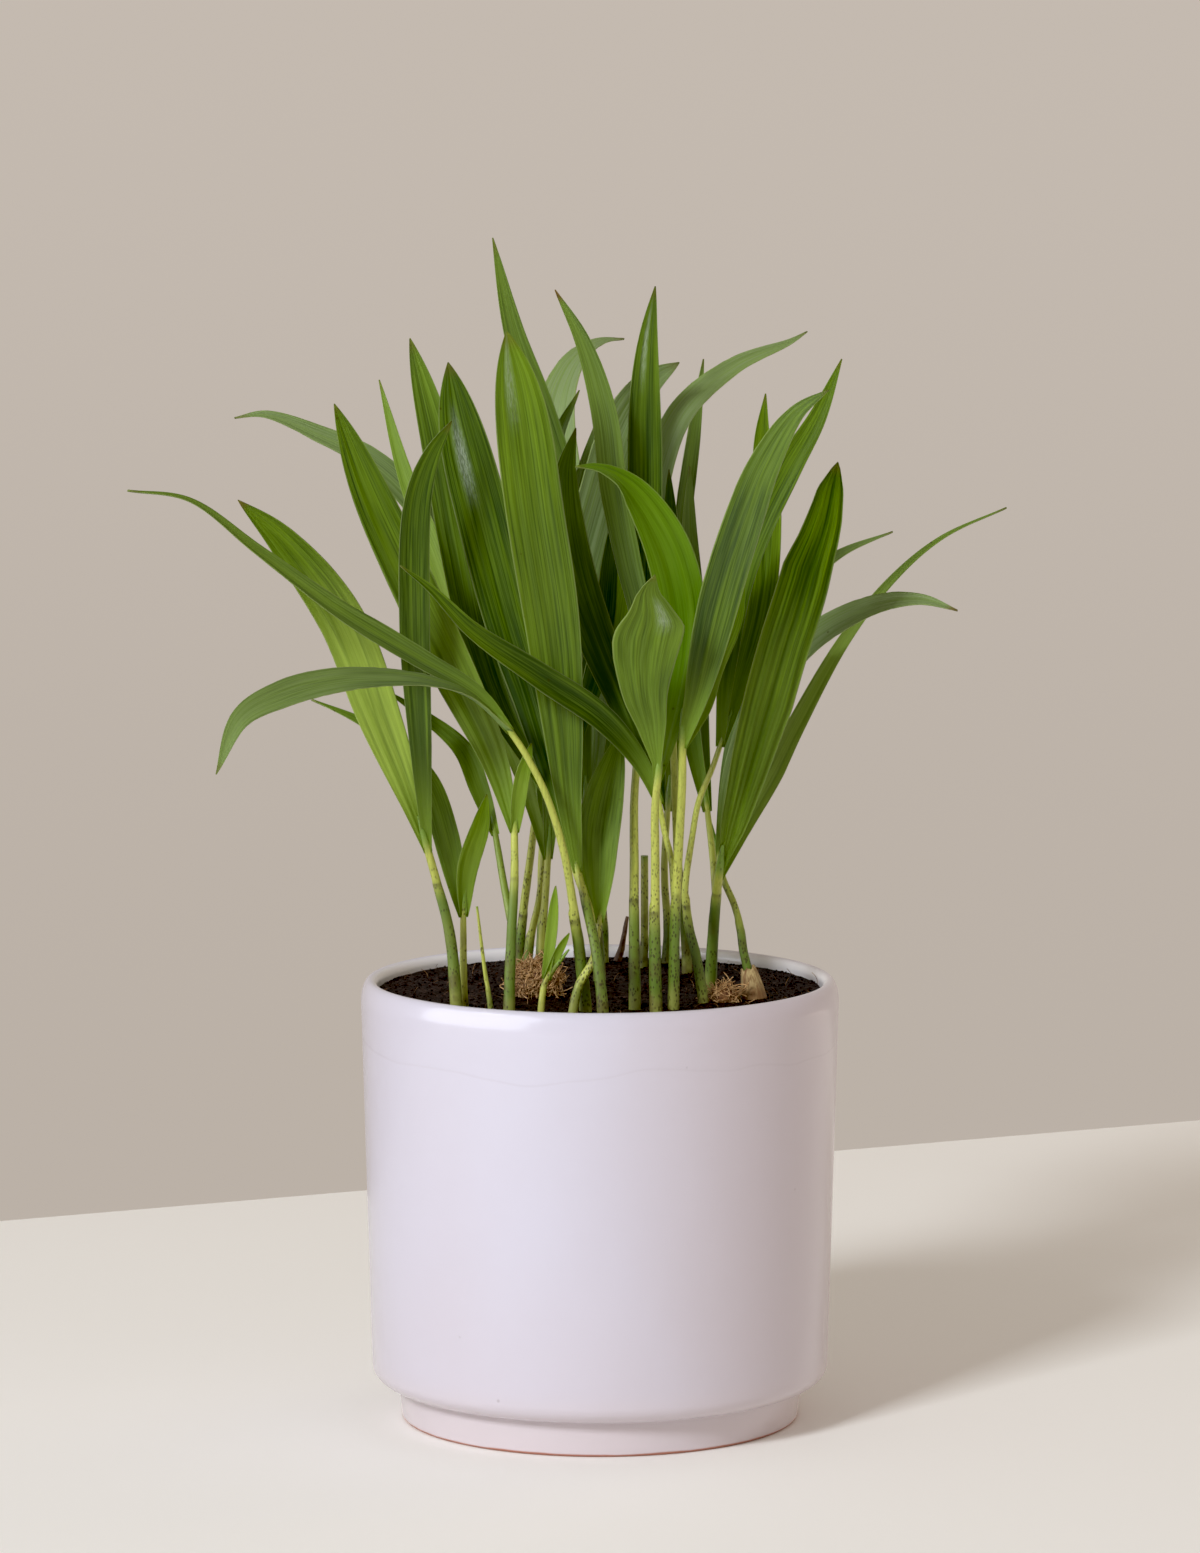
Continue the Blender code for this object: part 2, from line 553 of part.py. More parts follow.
def wall_radius(height):
    """The pot's inner radius at a height above its inner corner."""
    low, high = FLOOR_THICKNESS + INNER_CORNER, POT_HEIGHT - LIP_INNER_DROP
    return INNER_LOW_RADIUS + (LIP_INNER_RADIUS - INNER_LOW_RADIUS) * (height - low) / (high - low)


def make_soil(cutters):
    """Soil that fills the pot, with a plain hole for each stalk and a dish for each seed."""
    low = FLOOR_THICKNESS + INNER_CORNER
    base = FLOOR_THICKNESS + TOUCHING_GAP
    edge = wall_radius(SOIL_TOP) - TOUCHING_GAP
    flat, low_edge = INNER_LOW_RADIUS - INNER_CORNER, INNER_LOW_RADIUS - TOUCHING_GAP
    outline = [(0, base)] + quarter((flat, base), (low_edge, low), 3, True)
    outline += [(edge, SOIL_TOP - SOIL_EDGE_DROP)]
    outline += [(edge * share, SOIL_TOP) for share in SOIL_RINGS]
    outline += [(0, SOIL_TOP)]
    soil = turned("soil", outline, SOIL_SIDES)
    for vertex in soil.data.vertices:
        x, y, z = vertex.co / MM
        if z > SOIL_TOP - SOIL_EDGE_DROP / 2 and math.hypot(x, y) < edge * SOIL_RINGS[1] + 1:
            vertex.co.z = soil_height(x, y) * MM
    apply_boolean(soil, "DIFFERENCE", cutters)
    split_into_triangles(soil)
    finish(soil, SOIL_BROWN, 0.95)


# The plants

def stalk_path(foot, stalk):
    """From the bottom of the stalk's hole up through the points it is seen at."""
    start = [(foot[0], foot[1], SOIL_TOP - HOLE_DEPTH), (foot[0], foot[1], SOIL_TOP - 1)] if foot else []
    return start + [seen(*point) for point in stalk]


def stalk_radii(shares, thick, rooted):
    """Thick at the foot, a little thicker where its sheath ends, then slender up to the neck."""
    found = []
    for share in shares:
        near_sheath_end = math.exp(-(((share - SHEATH_END) / SHEATH_LENGTH) ** 2))
        sheath = SHEATH_SWELL * thick[0] * near_sheath_end if rooted else 0
        found.append(thick[0] + (thick[1] - thick[0]) * share**0.8 + sheath)
    return found


def stalk_rings(path, thick, rooted):
    """Where the rings of a stalk's corners are, and their radii."""
    spans = max(STALK_LEAST_SPANS, round(length_of(path) / STALK_SPAN))
    shares = [k / spans for k in range(spans + 1)]
    return along(path, shares), stalk_radii(shares, thick, rooted)


def add_stalk(name, path, thick, rooted, collection):
    points, radii = stalk_rings(path, thick, rooted)
    past = points[-1] + directions(points)[-1] * STALK_PAST_NECK
    return tube(name, np.vstack([points, past]), radii + [thick[1] * 0.5], STALK_SIDES, collection)


def add_hole_cutter(name, path, thick, collection):
    """The foot of the same stalk a little thicker, from under its end to well over the soil."""
    points, radii = stalk_rings(path, thick, True)
    count = 1 + next(k for k, point in enumerate(points) if point[2] > SOIL_TOP + HOLE_CUTTER_RISE)
    points = points[:count]
    radii = [radius + TOUCHING_GAP for radius in radii[:count]]
    points[0] = points[0] - directions(points)[0] * TOUCHING_GAP
    tube(name, points, radii, STALK_SIDES, collection)


def make_seedling(seedling, cutters):
    pieces = new_collection(seedling.name + "_pieces")
    body = None
    for number, leaf in enumerate(seedling.leaves):
        rooted = number == 0
        path = stalk_path(seedling.foot if rooted else None, leaf.stalk)
        stalk = add_stalk(seedling.name + "_stalk", path, leaf.thick, rooted, None if rooted else pieces)
        if rooted:
            body = stalk
            add_hole_cutter("hole", path, leaf.thick, cutters)
        neck = along(path, [1 - BLADE_SUNK / length_of(path)])[0]
        for shape in leaf.lobes:
            blade("lobe", [neck] + [seen(*point) for point in shape.path], shape, pieces)
    apply_boolean(body, "UNION", pieces)
    body.name = seedling.name
    finish(body, LEAF_GREEN, 0.4, 35)


def make_bare_shoot(name, foot, stalk, thick, cutters):
    path = stalk_path(foot, stalk)
    points, radii = stalk_rings(path, thick, True)
    shoot = tube(name, points, radii, STALK_SIDES)
    add_hole_cutter("hole", path, thick, cutters)
    finish(shoot, DRY_BROWN if name == "dry_stub" else STALK_GREEN, 0.5)


def ball(name, middle, size, grow, ridged, collection=None):
    """A rounded lump with shallow ridges running round it."""
    mesh = bpy.data.meshes.new(name)
    work = bmesh.new()
    bmesh.ops.create_icosphere(work, subdivisions=3 if ridged else 2, radius=1)
    for vertex in work.verts:
        x, y, z = vertex.co
        ridge = 1 + (SEED_RIDGE * math.sin(SEED_RIDGES * math.atan2(z, x) + 5 * y) if ridged else 0)
        vertex.co = [(middle[k] + vertex.co[k] * (size[k] * ridge + grow)) * MM for k in range(3)]
    work.to_mesh(mesh)
    work.free()
    thing = bpy.data.objects.new(name, mesh)
    (collection or bpy.context.scene.collection).objects.link(thing)
    return thing


def make_seed(name, spot, size, height, cutters):
    """A fibrous seed half sunk in the soil, with a plain hole for each stalk that runs through it."""
    middle = (*spot, height)
    seed = ball(name, middle, size, 0, True)
    ball("seed_bed", middle, size, SEED_BED_ROOM, False, cutters)
    holes = new_collection(name + "_holes")
    for seedling in SEEDLINGS:
        if math.dist(seedling.foot, spot) < max(size) + 6:
            leaf = seedling.leaves[0]
            add_hole_cutter("hole", stalk_path(seedling.foot, leaf.stalk), leaf.thick, holes)
    if holes.objects:
        apply_boolean(seed, "DIFFERENCE", holes)
    else:
        bpy.data.collections.remove(holes)
    finish(seed, SEED_TAN, 0.9)


def make_husk(seedling):
    """A dry torn collar, open at one side, round the foot of a seedling."""
    leaf = seedling.leaves[0]
    path = stalk_path(seedling.foot, leaf.stalk)
    top = HUSK_ROWS - 1
    heights = [HOLE_DEPTH + HUSK_RAISED + HUSK_HEIGHT * row / top for row in range(HUSK_ROWS)]
    shares = [height / length_of(path) for height in heights]
    spine = along(path, shares)
    ahead = directions(spine)
    radii = stalk_radii(shares, leaf.thick, True)
    points = []
    for row, (place, forward, radius) in enumerate(zip(spine, ahead, radii)):
        side = unit(np.cross(forward, (0, 1, 0)))
        other = np.cross(forward, side)
        inner = radius + HUSK_INNER_GAP
        outer = inner + HUSK_WALL + HUSK_SWELL * (1 - row / top)
        for reach in (inner, outer):
            for k in range(HUSK_SIDES):
                turn = math.radians(HUSK_FROM + (HUSK_TO - HUSK_FROM) * k / (HUSK_SIDES - 1))
                torn = HUSK_TEAR * math.sin(HUSK_TEETH * turn) if row == top else 0
                outward = math.cos(turn) * side + math.sin(turn) * other
                points.append(place + forward * torn + outward * reach)
    step = 2 * HUSK_SIDES
    faces = []
    for low in range(0, top * step, step):
        for k in range(HUSK_SIDES - 1):
            inside, outside = low + k, low + HUSK_SIDES + k
            faces.append((inside, inside + step, inside + step + 1, inside + 1))
            faces.append((outside, outside + 1, outside + step + 1, outside + step))
        for k in (0, HUSK_SIDES - 1):
            inside, outside = low + k, low + HUSK_SIDES + k
            faces.append((inside, outside, outside + step, inside + step))
    for low in (0, top * step):
        for k in range(HUSK_SIDES - 1):
            inside, outside = low + k, low + HUSK_SIDES + k
            faces.append((inside, inside + 1, outside + 1, outside))
    finish(new_object("torn_husk", points, faces), HUSK_TAN, 0.8)


def main():
    for thing in list(bpy.data.objects):
        bpy.data.objects.remove(thing)
    cutters = new_collection("soil_holes")
    make_pot()
    for seedling in SEEDLINGS:
        make_seedling(seedling, cutters)
    for shoot in BARE_SHOOTS:
        make_bare_shoot(*shoot, cutters)
    for seed in SEEDS:
        make_seed(*seed, cutters)
    make_husk(next(seedling for seedling in SEEDLINGS if seedling.name == HUSK_OWNER))
    make_soil(cutters)


main()
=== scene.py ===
"""The look of a young areca palm in a glazed pot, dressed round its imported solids.

Metres and +Z up in the scene, and millimetres in the tables. The origin is the middle of the pot's underside,
the front of the plant faces -Y, and +X is to its right. The tables of the stems are those of the solids.
"""
import math
from collections import namedtuple

import bmesh
import bpy
import numpy as np
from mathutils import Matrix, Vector, noise


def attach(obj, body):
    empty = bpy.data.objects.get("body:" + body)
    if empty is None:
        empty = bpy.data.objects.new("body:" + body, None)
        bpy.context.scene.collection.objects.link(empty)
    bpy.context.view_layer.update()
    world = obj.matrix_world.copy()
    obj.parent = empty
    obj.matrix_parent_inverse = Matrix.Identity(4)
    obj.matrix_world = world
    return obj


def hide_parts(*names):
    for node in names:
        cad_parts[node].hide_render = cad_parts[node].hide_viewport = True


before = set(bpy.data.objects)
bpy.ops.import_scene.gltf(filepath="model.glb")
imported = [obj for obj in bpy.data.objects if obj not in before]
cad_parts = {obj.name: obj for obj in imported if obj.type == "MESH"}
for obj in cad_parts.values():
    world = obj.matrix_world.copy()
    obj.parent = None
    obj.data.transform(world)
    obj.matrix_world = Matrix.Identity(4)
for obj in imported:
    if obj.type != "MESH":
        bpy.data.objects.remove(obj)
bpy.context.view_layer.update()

MM = 0.001

# The camera, at the photograph's viewing angle
EYE_DISTANCE = 1800.0
EYE_HEIGHT = 402.0
EYE_PITCH = 6.74
PHOTO_HEIGHT = 1553
FOCAL_PIXELS = 6211
SENSOR = 36.0
SEEN_TO = 20.0

# The pot
POT_HEIGHT = 130.0
POT_RADIUS = 70.0
POT_LOW_RADIUS = 67.1
LIP_INNER_RADIUS = 65.0
LIP_CROWN_RADIUS = 67.3
LIP_OUTER_DROP = 6.5
LIP_INNER_DROP = 3.0
SHOULDER_TOP = 16.0
FOOT_HEIGHT = 10.4
FOOT_RADIUS = 59.5
FOOT_LOW_RADIUS = 58.3
FOOT_EDGE = 0.9
FLOOR_THICKNESS = 8.0
INNER_LOW_RADIUS = 60.5
INNER_CORNER = 13.0
POT_SIDES = 192
POT_BAND = 6.0
SHARP_CORNER = 40
GLAZE_RUN_END = 0.1115

# The soil
SOIL_TOP = 126.4
SOIL_HUMP = 0.7
SOIL_HUMP_SIZE = (9.0, 11.0)
SOIL_EDGE_DROP = 1.0
SOIL_EDGE_RUN = 8.0
SOIL_SIDES = 144
SOIL_RINGS = 44
SOIL_FLOOR_GAP = 0.3
SOIL_WALL_GAP = 0.05
SOIL_LUMPS = 0.4
MOUND_HEIGHT = 0.9
MOUND_REACH = 3.6
HOLE_DEPTH = 12.0
SOIL_SIZES = {"Top": (SOIL_TOP - 2.5) * MM, "Crumbs": 360000.0, "Lumps": 12000.0, "Hairs": 9000.0,
              "Crumb Size": 0.6 * MM, "Lump Size": 1.2 * MM, "Hair Length": 5.0 * MM, "Seed": 5}

# Blades
BLADE_ROOT_WIDTH = 2.4
BLADE_TIP_WIDTH = 0.35
BLADE_SUNK = 3.0
BLADE_ROW = 1.8
CLASP, CLASP_REACH = 0.5, 9.0
FOLD_DEPTH = 0.7
PLEAT_DEPTH = 0.15
DEEP_PLEAT_REACH = 30.0
PLEAT_WIDTH = 6.5
RIB_GAP = 6
VEINS_EACH_MM = 0.75
LEAF_TRANSLUCENCE = 0.28
BLADE_SIZES = {"Columns": 33, "Middle Thickness": 0.6 * MM, "Margin Thickness": 0.26 * MM,
               "Rib Height": 0.05 * MM, "Margin Wave": 0.7 * MM, "Wave Scale": 45.0}

# Stalks
STALK_ROW = 1.6
STALK_SLIM = 0.85
# A stalk's end past its neck: (step, share of the stalk's length, share of its radius)
STALK_END = [(2.4, 1.02, 0.775), (2.4, 1.04, 0.55), (2.4, 1.06, 0.3625), (0.8, 1.08, 0.25)]
STALK_SIZES = {"Sides": 18, "Sheath Wall": 0.08, "Lip Slant": 0.035, "Groove": 0.3, "Wobble": 0.16}
SHOOT_SIZES = {**STALK_SIZES, "Lip Slant": 0.05}
SHOOT_GREEN = 0.25
SHOOT_SEED = 31
WITHERED_WOBBLE = 0.9
CURVE_STEP = 0.8

# How far two lobes of uneven outline reach to each side of their middle: (share of the length, left, right)
SPADE_SIDES = [(0, 1.0, 1.0), (0.08, 1.3, 1.3), (0.2, 4.1, 2.6), (0.37, 6.9, 5.0), (0.58, 9.8, 8.2),
               (0.667, 10.3, 9.6), (0.72, 9.6, 10.0), (0.747, 8.7, 9.8), (0.805, 6.4, 6.9), (0.86, 5.4, 4.3),
               (0.903, 4.6, 2.1), (0.957, 2.9, 0.9), (1, 0.2, 0.2)]
NOTCHED_SIDES = [(0, 1.0, 1.0), (0.05, 1.6, 1.6), (0.13, 3.7, 3.7), (0.28, 5.8, 5.6), (0.43, 7.3, 7.2),
                 (0.63, 8.0, 6.9), (0.7, 8.4, 6.3), (0.755, 8.5, 5.7), (0.79, 7.6, 5.4), (0.825, 6.5, 5.2),
                 (0.87, 5.5, 4.8), (0.94, 4.2, 3.2), (0.985, 1.5, 1.2), (1, 0.2, 0.2)]

Seedling = namedtuple("Seedling", "foot leaves sheath specks")
Leaf = namedtuple("Leaf", "stalk thick lobes green")
Lobe = namedtuple("Lobe", "path width widest tip face end fold pleat sides looks")
PLAIN_LOOKS = {"tone": 0.35, "bloom": 0.1, "glow": 0.0, "dry": 0.3, "lush": 0.0}
SEEDLINGS = []


def seedling(foot, sheath=0.45, specks=0.4):
    """A seedling standing at (x, y) on the soil. Its stalk is in a sheath up to a share of its length."""
    SEEDLINGS.append(Seedling(foot, [], sheath, specks))


def leaf(stalk, thick, green=0.22):
    """The last seedling's next leaf: its stalk's points, and its radii at the foot and at the neck."""
    SEEDLINGS[-1].leaves.append(Leaf(stalk, thick, [], green))


def lobe(path, width, widest=0.5, tip=2.5, face=(0, 0), end=None, fold=0.28, pleat=0.12, sides=None,
         wax=(0, 0.5, 0), **looks):
    """The last leaf's next lobe: the points of its middle, its outline, and the ways it faces.

    Its looks are `tone` from deep to fresh green, a greyish `bloom`, a yellow painted backlight in its lower
    half (`glow`), how far its tip is `dry` and how `lush` its green is, and a pale speckled patch of painted
    sheen (`wax`), given as (strength, share of the length, place across).
    """
    looks = {**PLAIN_LOOKS, **looks, "wax": wax[0], "wax_at": wax[1], "wax_side": wax[2]}
    SEEDLINGS[-1].leaves[-1].lobes.append(
        Lobe(path, width, widest, tip, face, end or face, fold, pleat, sides, looks))


# Every point of a stalk or a lobe is (across, up, depth): where it is seen from the front on the upright
# plane through the pot's middle, and how far behind that plane it is.

# leafy_stem_01
seedling((-41, -42), sheath=0.8, specks=0.45)
leaf([(-44, 143, -43), (-48, 159, -45), (-51, 170, -46)], (2.3, 1.3))
lobe([(-55, 182, -46), (-64, 206, -49), (-75, 235, -55), (-92, 258, -63), (-105, 270, -70)], 13.5, tip=2.7,
     face=(8, 5), end=(-25, 25), tone=0.32, glow=1.0, dry=0.6)
lobe([(-52, 194, -50), (-54, 235, -55), (-53, 270, -58), (-49, 283, -58), (-43, 293, -57)], 8.8, widest=0.6,
     tip=3.4, face=(-14, 0), end=(22, 0), tone=0.12, glow=0.12)

# leafy_stem_02
seedling((-39, -35), sheath=0.2, specks=0.15)
leaf([(-40, 130, -36), (-40, 141, -36), (-40, 151, -37)], (1.7, 1.0))
lobe([(-45, 172, -37), (-50, 187, -37), (-58, 197, -36), (-69, 205, -36), (-84, 212, -36)], 7.5, widest=0.3,
     tip=1.7, face=(-10, 5), end=(0, 65), tone=0.55, bloom=0.25)
lobe([(-39, 162, -39), (-35, 175, -42), (-33, 184, -44)], 6.5, face=(20, 0), tone=0.6, glow=0.4)

# leafy_stem_03
seedling((-26, -49), sheath=0.76, specks=0.35)
leaf([(-26, 141, -49), (-25, 160, -48), (-25, 176, -46)], (2.1, 1.2))
lobe([(-31, 195, -44), (-44, 223, -42), (-57, 251, -43), (-67, 273, -45), (-77, 298, -48)], 12.8,
     widest=0.45, tip=3.9, face=(-6, 0), end=(8, 0), tone=0.32, glow=0.3)
lobe([(-23, 188, -48), (-20, 199, -49)], 4.5, face=(15, 0), tone=0.6, glow=0.5)
leaf([(-26, 147, -48), (-28, 157, -45), (-31, 175, -39)], (1.5, 1.0), green=0.9)
lobe([(-35, 185, -37), (-40, 197, -34), (-50, 206, -31), (-63, 215, -30)], 6.0, widest=0.35, tip=1.6,
     face=(0, 10), end=(0, 55), tone=0.5, bloom=0.25)

# leafy_stem_04
seedling((-4, -45), sheath=0.4)
leaf([(-6, 138, -48), (-8, 151, -53), (-11, 168, -56), (-16, 184, -58), (-22, 196, -59), (-28, 205, -59)],
     (2.2, 1.2))
lobe([(-38, 213, -66), (-50, 217, -74), (-64, 218, -84), (-78, 217, -95), (-93, 213, -107),
     (-105, 206, -117), (-112, 190, -124)], 8.8, widest=0.62, tip=2.0, face=(0, 78), end=(0, 5), tone=0.5,
     bloom=0.6)
lobe([(-35, 213, -61), (-53, 224, -68), (-76, 238, -79), (-99, 255, -91), (-119, 270, -102),
     (-137, 273, -113)], 6.7, widest=0.38, tip=1.0, face=(0, 25), end=(0, 50), fold=0.5, tone=0.5, bloom=0.3)

# leafy_stem_05
seedling((1, -55), sheath=0.85, specks=1.0)
leaf([(-1, 137, -54), (-4, 151, -49), (-7, 164, -46)], (2.1, 1.3))
lobe([(-9, 182, -48), (-11, 206, -50), (-14, 235, -53), (-19, 267, -57), (-23, 296, -61), (-27, 319, -64)],
     16.5, widest=0.6, tip=4.8, face=(-5, 0), end=(6, 8), tone=0.38, bloom=0.12, glow=0.1,
     wax=(0.6, 0.92, -0.3))
lobe([(-12, 185, -42), (-19, 212, -39), (-26, 235, -38), (-35, 270, -38), (-40, 290, -40), (-44, 310, -42)],
     15.5, widest=0.62, tip=4.2, face=(-18, 0), end=(-8, 12), tone=0.14, bloom=0.08, wax=(1.0, 0.82, -0.22))
leaf([(-2, 143, -52), (-3, 150, -48), (-7, 161, -42), (-13, 182, -34)], (1.4, 1.1))
lobe([(-20, 193, -32), (-28, 207, -29), (-36, 229, -26), (-42, 258, -23), (-48, 290, -20), (-55, 317, -18)],
     10.0, widest=0.58, tip=3.8, face=(10, 0), tone=0.32, bloom=0.2)
lobe([(-7, 203, -30), (-2, 218, -26), (1, 235, -23), (3, 255, -21), (5, 270, -20)], 7.0, face=(25, 0),
     tone=0.15)

# leafy_stem_06
seedling((-17, -50))
leaf([(-16, 129, -50), (-14, 132, -50.5)], (1.4, 1.0))
lobe([(-14, 144, -52), (-13, 157, -53)], 3.4, face=(-20, 0), tone=0.6, glow=0.4)
lobe([(-12, 138, -52), (-9, 143, -53)], 2.6, face=(20, 0), tone=0.6, glow=0.4)

# leafy_stem_07
seedling((-8, -51), sheath=0.5, specks=0.9)
leaf([(-6, 128, -50.5), (-2, 135, -50), (-1, 142, -46), (0, 149, -43)], (1.6, 1.3))
lobe([(-1, 161, -41), (-1, 172, -38), (1, 184, -35), (4, 195, -33), (6, 203, -32)], 12.5, tip=2.0,
     face=(10, 0), fold=0.6, tone=0.5, bloom=0.3)

# leafy_stem_08
seedling((0, 12), sheath=0.5, specks=0.8)
leaf([(-1, 144, 10), (-3, 159, 8), (-4, 182, 4)], (2.2, 1.6))
lobe([(-2, 200, 8), (-4, 229, 14), (-9, 258, 22), (-13, 285, 28), (-12, 300, 34), (-7, 311, 42),
     (0, 316, 49), (7, 317, 55)], 16.5, tip=2.0, face=(-10, 0), end=(-25, 45), tone=0.9, bloom=1.0)
lobe([(-5, 206, 0), (-6, 235, -3), (-11, 273, -6), (-17, 295, -8), (-25, 319, -9), (-31, 346, -8)], 9.0,
     widest=0.6, tip=2.1, face=(12, 0), tone=0.4, bloom=0.3)

# leafy_stem_09
seedling((16, -45), sheath=0.5, specks=0.9)
leaf([(16, 141, -46), (16, 165, -48), (16, 181, -50), (17, 191, -51)], (2.2, 1.4))
lobe([(16, 203, -55), (14, 215, -60), (14, 228, -66), (15, 240, -73), (16, 248, -79)], 20.0, face=(-6, 0),
     end=(12, 25), fold=0.1, tone=0.46, bloom=0.22, wax=(0.8, 0.79, 0.4), sides=SPADE_SIDES)
lobe([(19, 200, -47), (22, 215, -45), (24, 235, -46), (19, 257, -50), (8, 274, -55), (0, 279, -60),
     (-7, 280, -65)], 14.0, tip=2.3, face=(6, 0), end=(-10, 55), tone=0.5, lush=0.6)

# leafy_stem_10
seedling((21, -42), sheath=0.5, specks=1.0)
leaf([(22, 148, -43), (23, 168, -45), (24, 188, -47), (24, 201, -48)], (2.0, 1.3))
lobe([(28, 212, -50), (35, 241, -56), (42, 264, -62), (48, 280, -67), (57, 295, -74), (66, 302, -80)], 12.0,
     widest=0.42, tip=2.8, face=(-8, 5), end=(-20, 25), tone=0.28, bloom=0.2)
lobe([(30, 210, -42), (33, 221, -40), (39, 235, -38), (42, 248, -37)], 6.0, face=(25, 0), tone=0.4, glow=0.3)
leaf([(22, 154, -43), (21, 165, -41), (19, 173, -40), (17, 184, -40)], (1.5, 1.0))
lobe([(12, 193, -43), (1, 206, -52), (-18, 219, -63), (-37, 232, -73), (-49, 244, -78), (-58, 251, -81)],
     8.0, widest=0.42, tip=1.6, face=(0, 15), end=(0, 30), tone=0.2)
lobe([(12, 197, -38), (6, 212, -37), (-1, 229, -36), (-7, 247, -36), (-10, 264, -37), (-10, 279, -38),
     (-7, 291, -38)], 12.0, widest=0.6, tip=2.2, face=(18, 0), tone=0.12, bloom=0.15)

# leafy_stem_11
seedling((32, -14), sheath=0.85, specks=0.3)
leaf([(33, 141, -16), (34, 154, -21), (35, 162, -24)], (2.3, 1.5))
lobe([(41, 182, -30), (47, 204, -37), (54, 228, -44), (61, 248, -50), (66, 267, -55), (69, 281, -59)], 15.5,
     face=(-4, 0), end=(6, 0), pleat=0.4, tone=0.1, bloom=0.0, glow=0.25, sides=NOTCHED_SIDES)
lobe([(42, 175, -20), (50, 190, -15), (57, 204, -9), (71, 229, 0), (85, 247, 7), (99, 259, 14),
     (118, 268, 22)], 6.6, widest=0.25, tip=0.85, face=(10, 0), end=(0, 60), tone=0.5, bloom=0.35, glow=0.5)
leaf([(34, 153, -20), (33, 165, -17), (31, 182, -14)], (1.5, 1.0))
lobe([(27, 200, -11), (23, 226, -8), (21, 253, -8), (20, 279, -8)], 7.5, face=(-15, 0), tone=0.1)
lobe([(29, 206, -6), (28, 229, -2), (26, 258, 2), (26, 280, 4)], 6.5, face=(15, 0), tone=0.5, bloom=0.6)

# leafy_stem_12
seedling((45, -21), sheath=0.6, specks=0.5)
leaf([(42, 138, -19), (41, 145, -17), (39, 152, -15), (36, 159, -13), (34, 168, -10)], (1.7, 1.1), green=0.5)
lobe([(39, 191, -11), (48, 213, -13), (61, 229, -16), (79, 239, -20), (93, 241, -24), (104, 238, -28)], 8.4,
     widest=0.55, tip=2.7, face=(0, 15), end=(0, 50), tone=0.65, bloom=0.9, dry=0.7)
lobe([(39, 197, -5), (48, 226, 2), (58, 244, 9), (69, 254, 17), (85, 261, 28)], 6.5, widest=0.45, tip=1.7,
     face=(0, 10), end=(0, 60), tone=0.4, bloom=0.55)

# leafy_stem_13
seedling((30, -32), specks=0.9)
leaf([(28, 137, -32), (26, 145, -31), (25, 155, -30), (27, 171, -29), (29, 182, -28), (33, 192, -27),
     (36, 201, -26)], (1.9, 1.0))
lobe([(40, 218, -23), (45, 238, -19), (47, 256, -15), (48, 273, -11), (47, 288, -8), (48, 301, -5)], 11.0,
     tip=1.8, face=(10, 0), tone=0.42)
lobe([(37, 221, -29), (41, 247, -31), (47, 264, -32), (55, 280, -33), (63, 294, -34), (70, 311, -35)], 8.5,
     widest=0.62, tip=1.8, face=(-12, 0), end=(-5, 10))

# leafy_stem_14
seedling((10, -38), sheath=0.5, specks=0.6)
leaf([(10, 143, -36), (10, 164, -32), (10, 182, -29), (11, 197, -26)], (2.1, 1.3))
lobe([(13, 226, -23), (13, 256, -22), (13, 279, -22), (13, 302, -22), (14, 318, -22), (16, 332, -22)], 10.0,
     widest=0.6, tip=2.4, face=(-6, 0), end=(8, 0), fold=0.3, tone=0.24, bloom=0.12, wax=(0.9, 0.88, -0.2))
lobe([(13, 215, -29), (12, 235, -31), (8, 253, -32), (4, 273, -32), (1, 296, -32), (-5, 316, -32),
     (-13, 331, -33)], 8.0, widest=0.6, tip=2.2, face=(8, 0), end=(0, 8), tone=0.45, bloom=0.35, dry=0.9)

# leafy_stem_15
seedling((26, 29))
leaf([(25, 143, 28), (23, 162, 24), (22, 182, 19), (21, 212, 13)], (1.9, 1.1))
lobe([(17, 235, 6), (15, 258, 4), (17, 279, 4), (24, 296, 6), (39, 309, 12), (55, 316, 20), (60, 319, 24)],
     8.8, tip=1.9, face=(-10, 0), end=(-10, 30), tone=0.8, bloom=0.9)
lobe([(23, 235, 14), (24, 264, 16), (27, 288, 22), (30, 311, 30)], 5.5, face=(25, 0), tone=0.4, bloom=0.4)

# leafy_stem_16
seedling((-17, -8))
leaf([(-17, 140, -8), (-16, 153, -9), (-15, 168, -10)], (1.7, 1.2))
lobe([(-13, 200, -13), (-8, 241, -15), (0, 273, -14), (6, 292, -10), (14, 304, -5), (23, 310, -3)], 12.5,
     widest=0.6, tip=5.0, face=(15, 0), tone=0.6, bloom=0.85)
lobe([(-23, 191, -8), (-33, 215, -4), (-47, 253, 2), (-56, 276, 6), (-64, 305, 10)], 7.0, tip=2.2,
     face=(-15, 0), tone=0.7, bloom=0.3, glow=0.7)

# leafy_stem_17
seedling((-22, 10))
leaf([(-20, 144, 9), (-18, 153, 8), (-16, 173, 6)], (1.8, 1.2))
lobe([(-16, 212, 2), (-15, 253, 2), (-13, 286, 4), (-6, 302, 8)], 8.0, face=(-15, 0), tone=0.3, bloom=0.25)
lobe([(-12, 212, 8), (-9, 241, 6), (-6, 270, 6), (-1, 293, 7)], 10.5, face=(20, 0), tone=0.4, bloom=0.6)

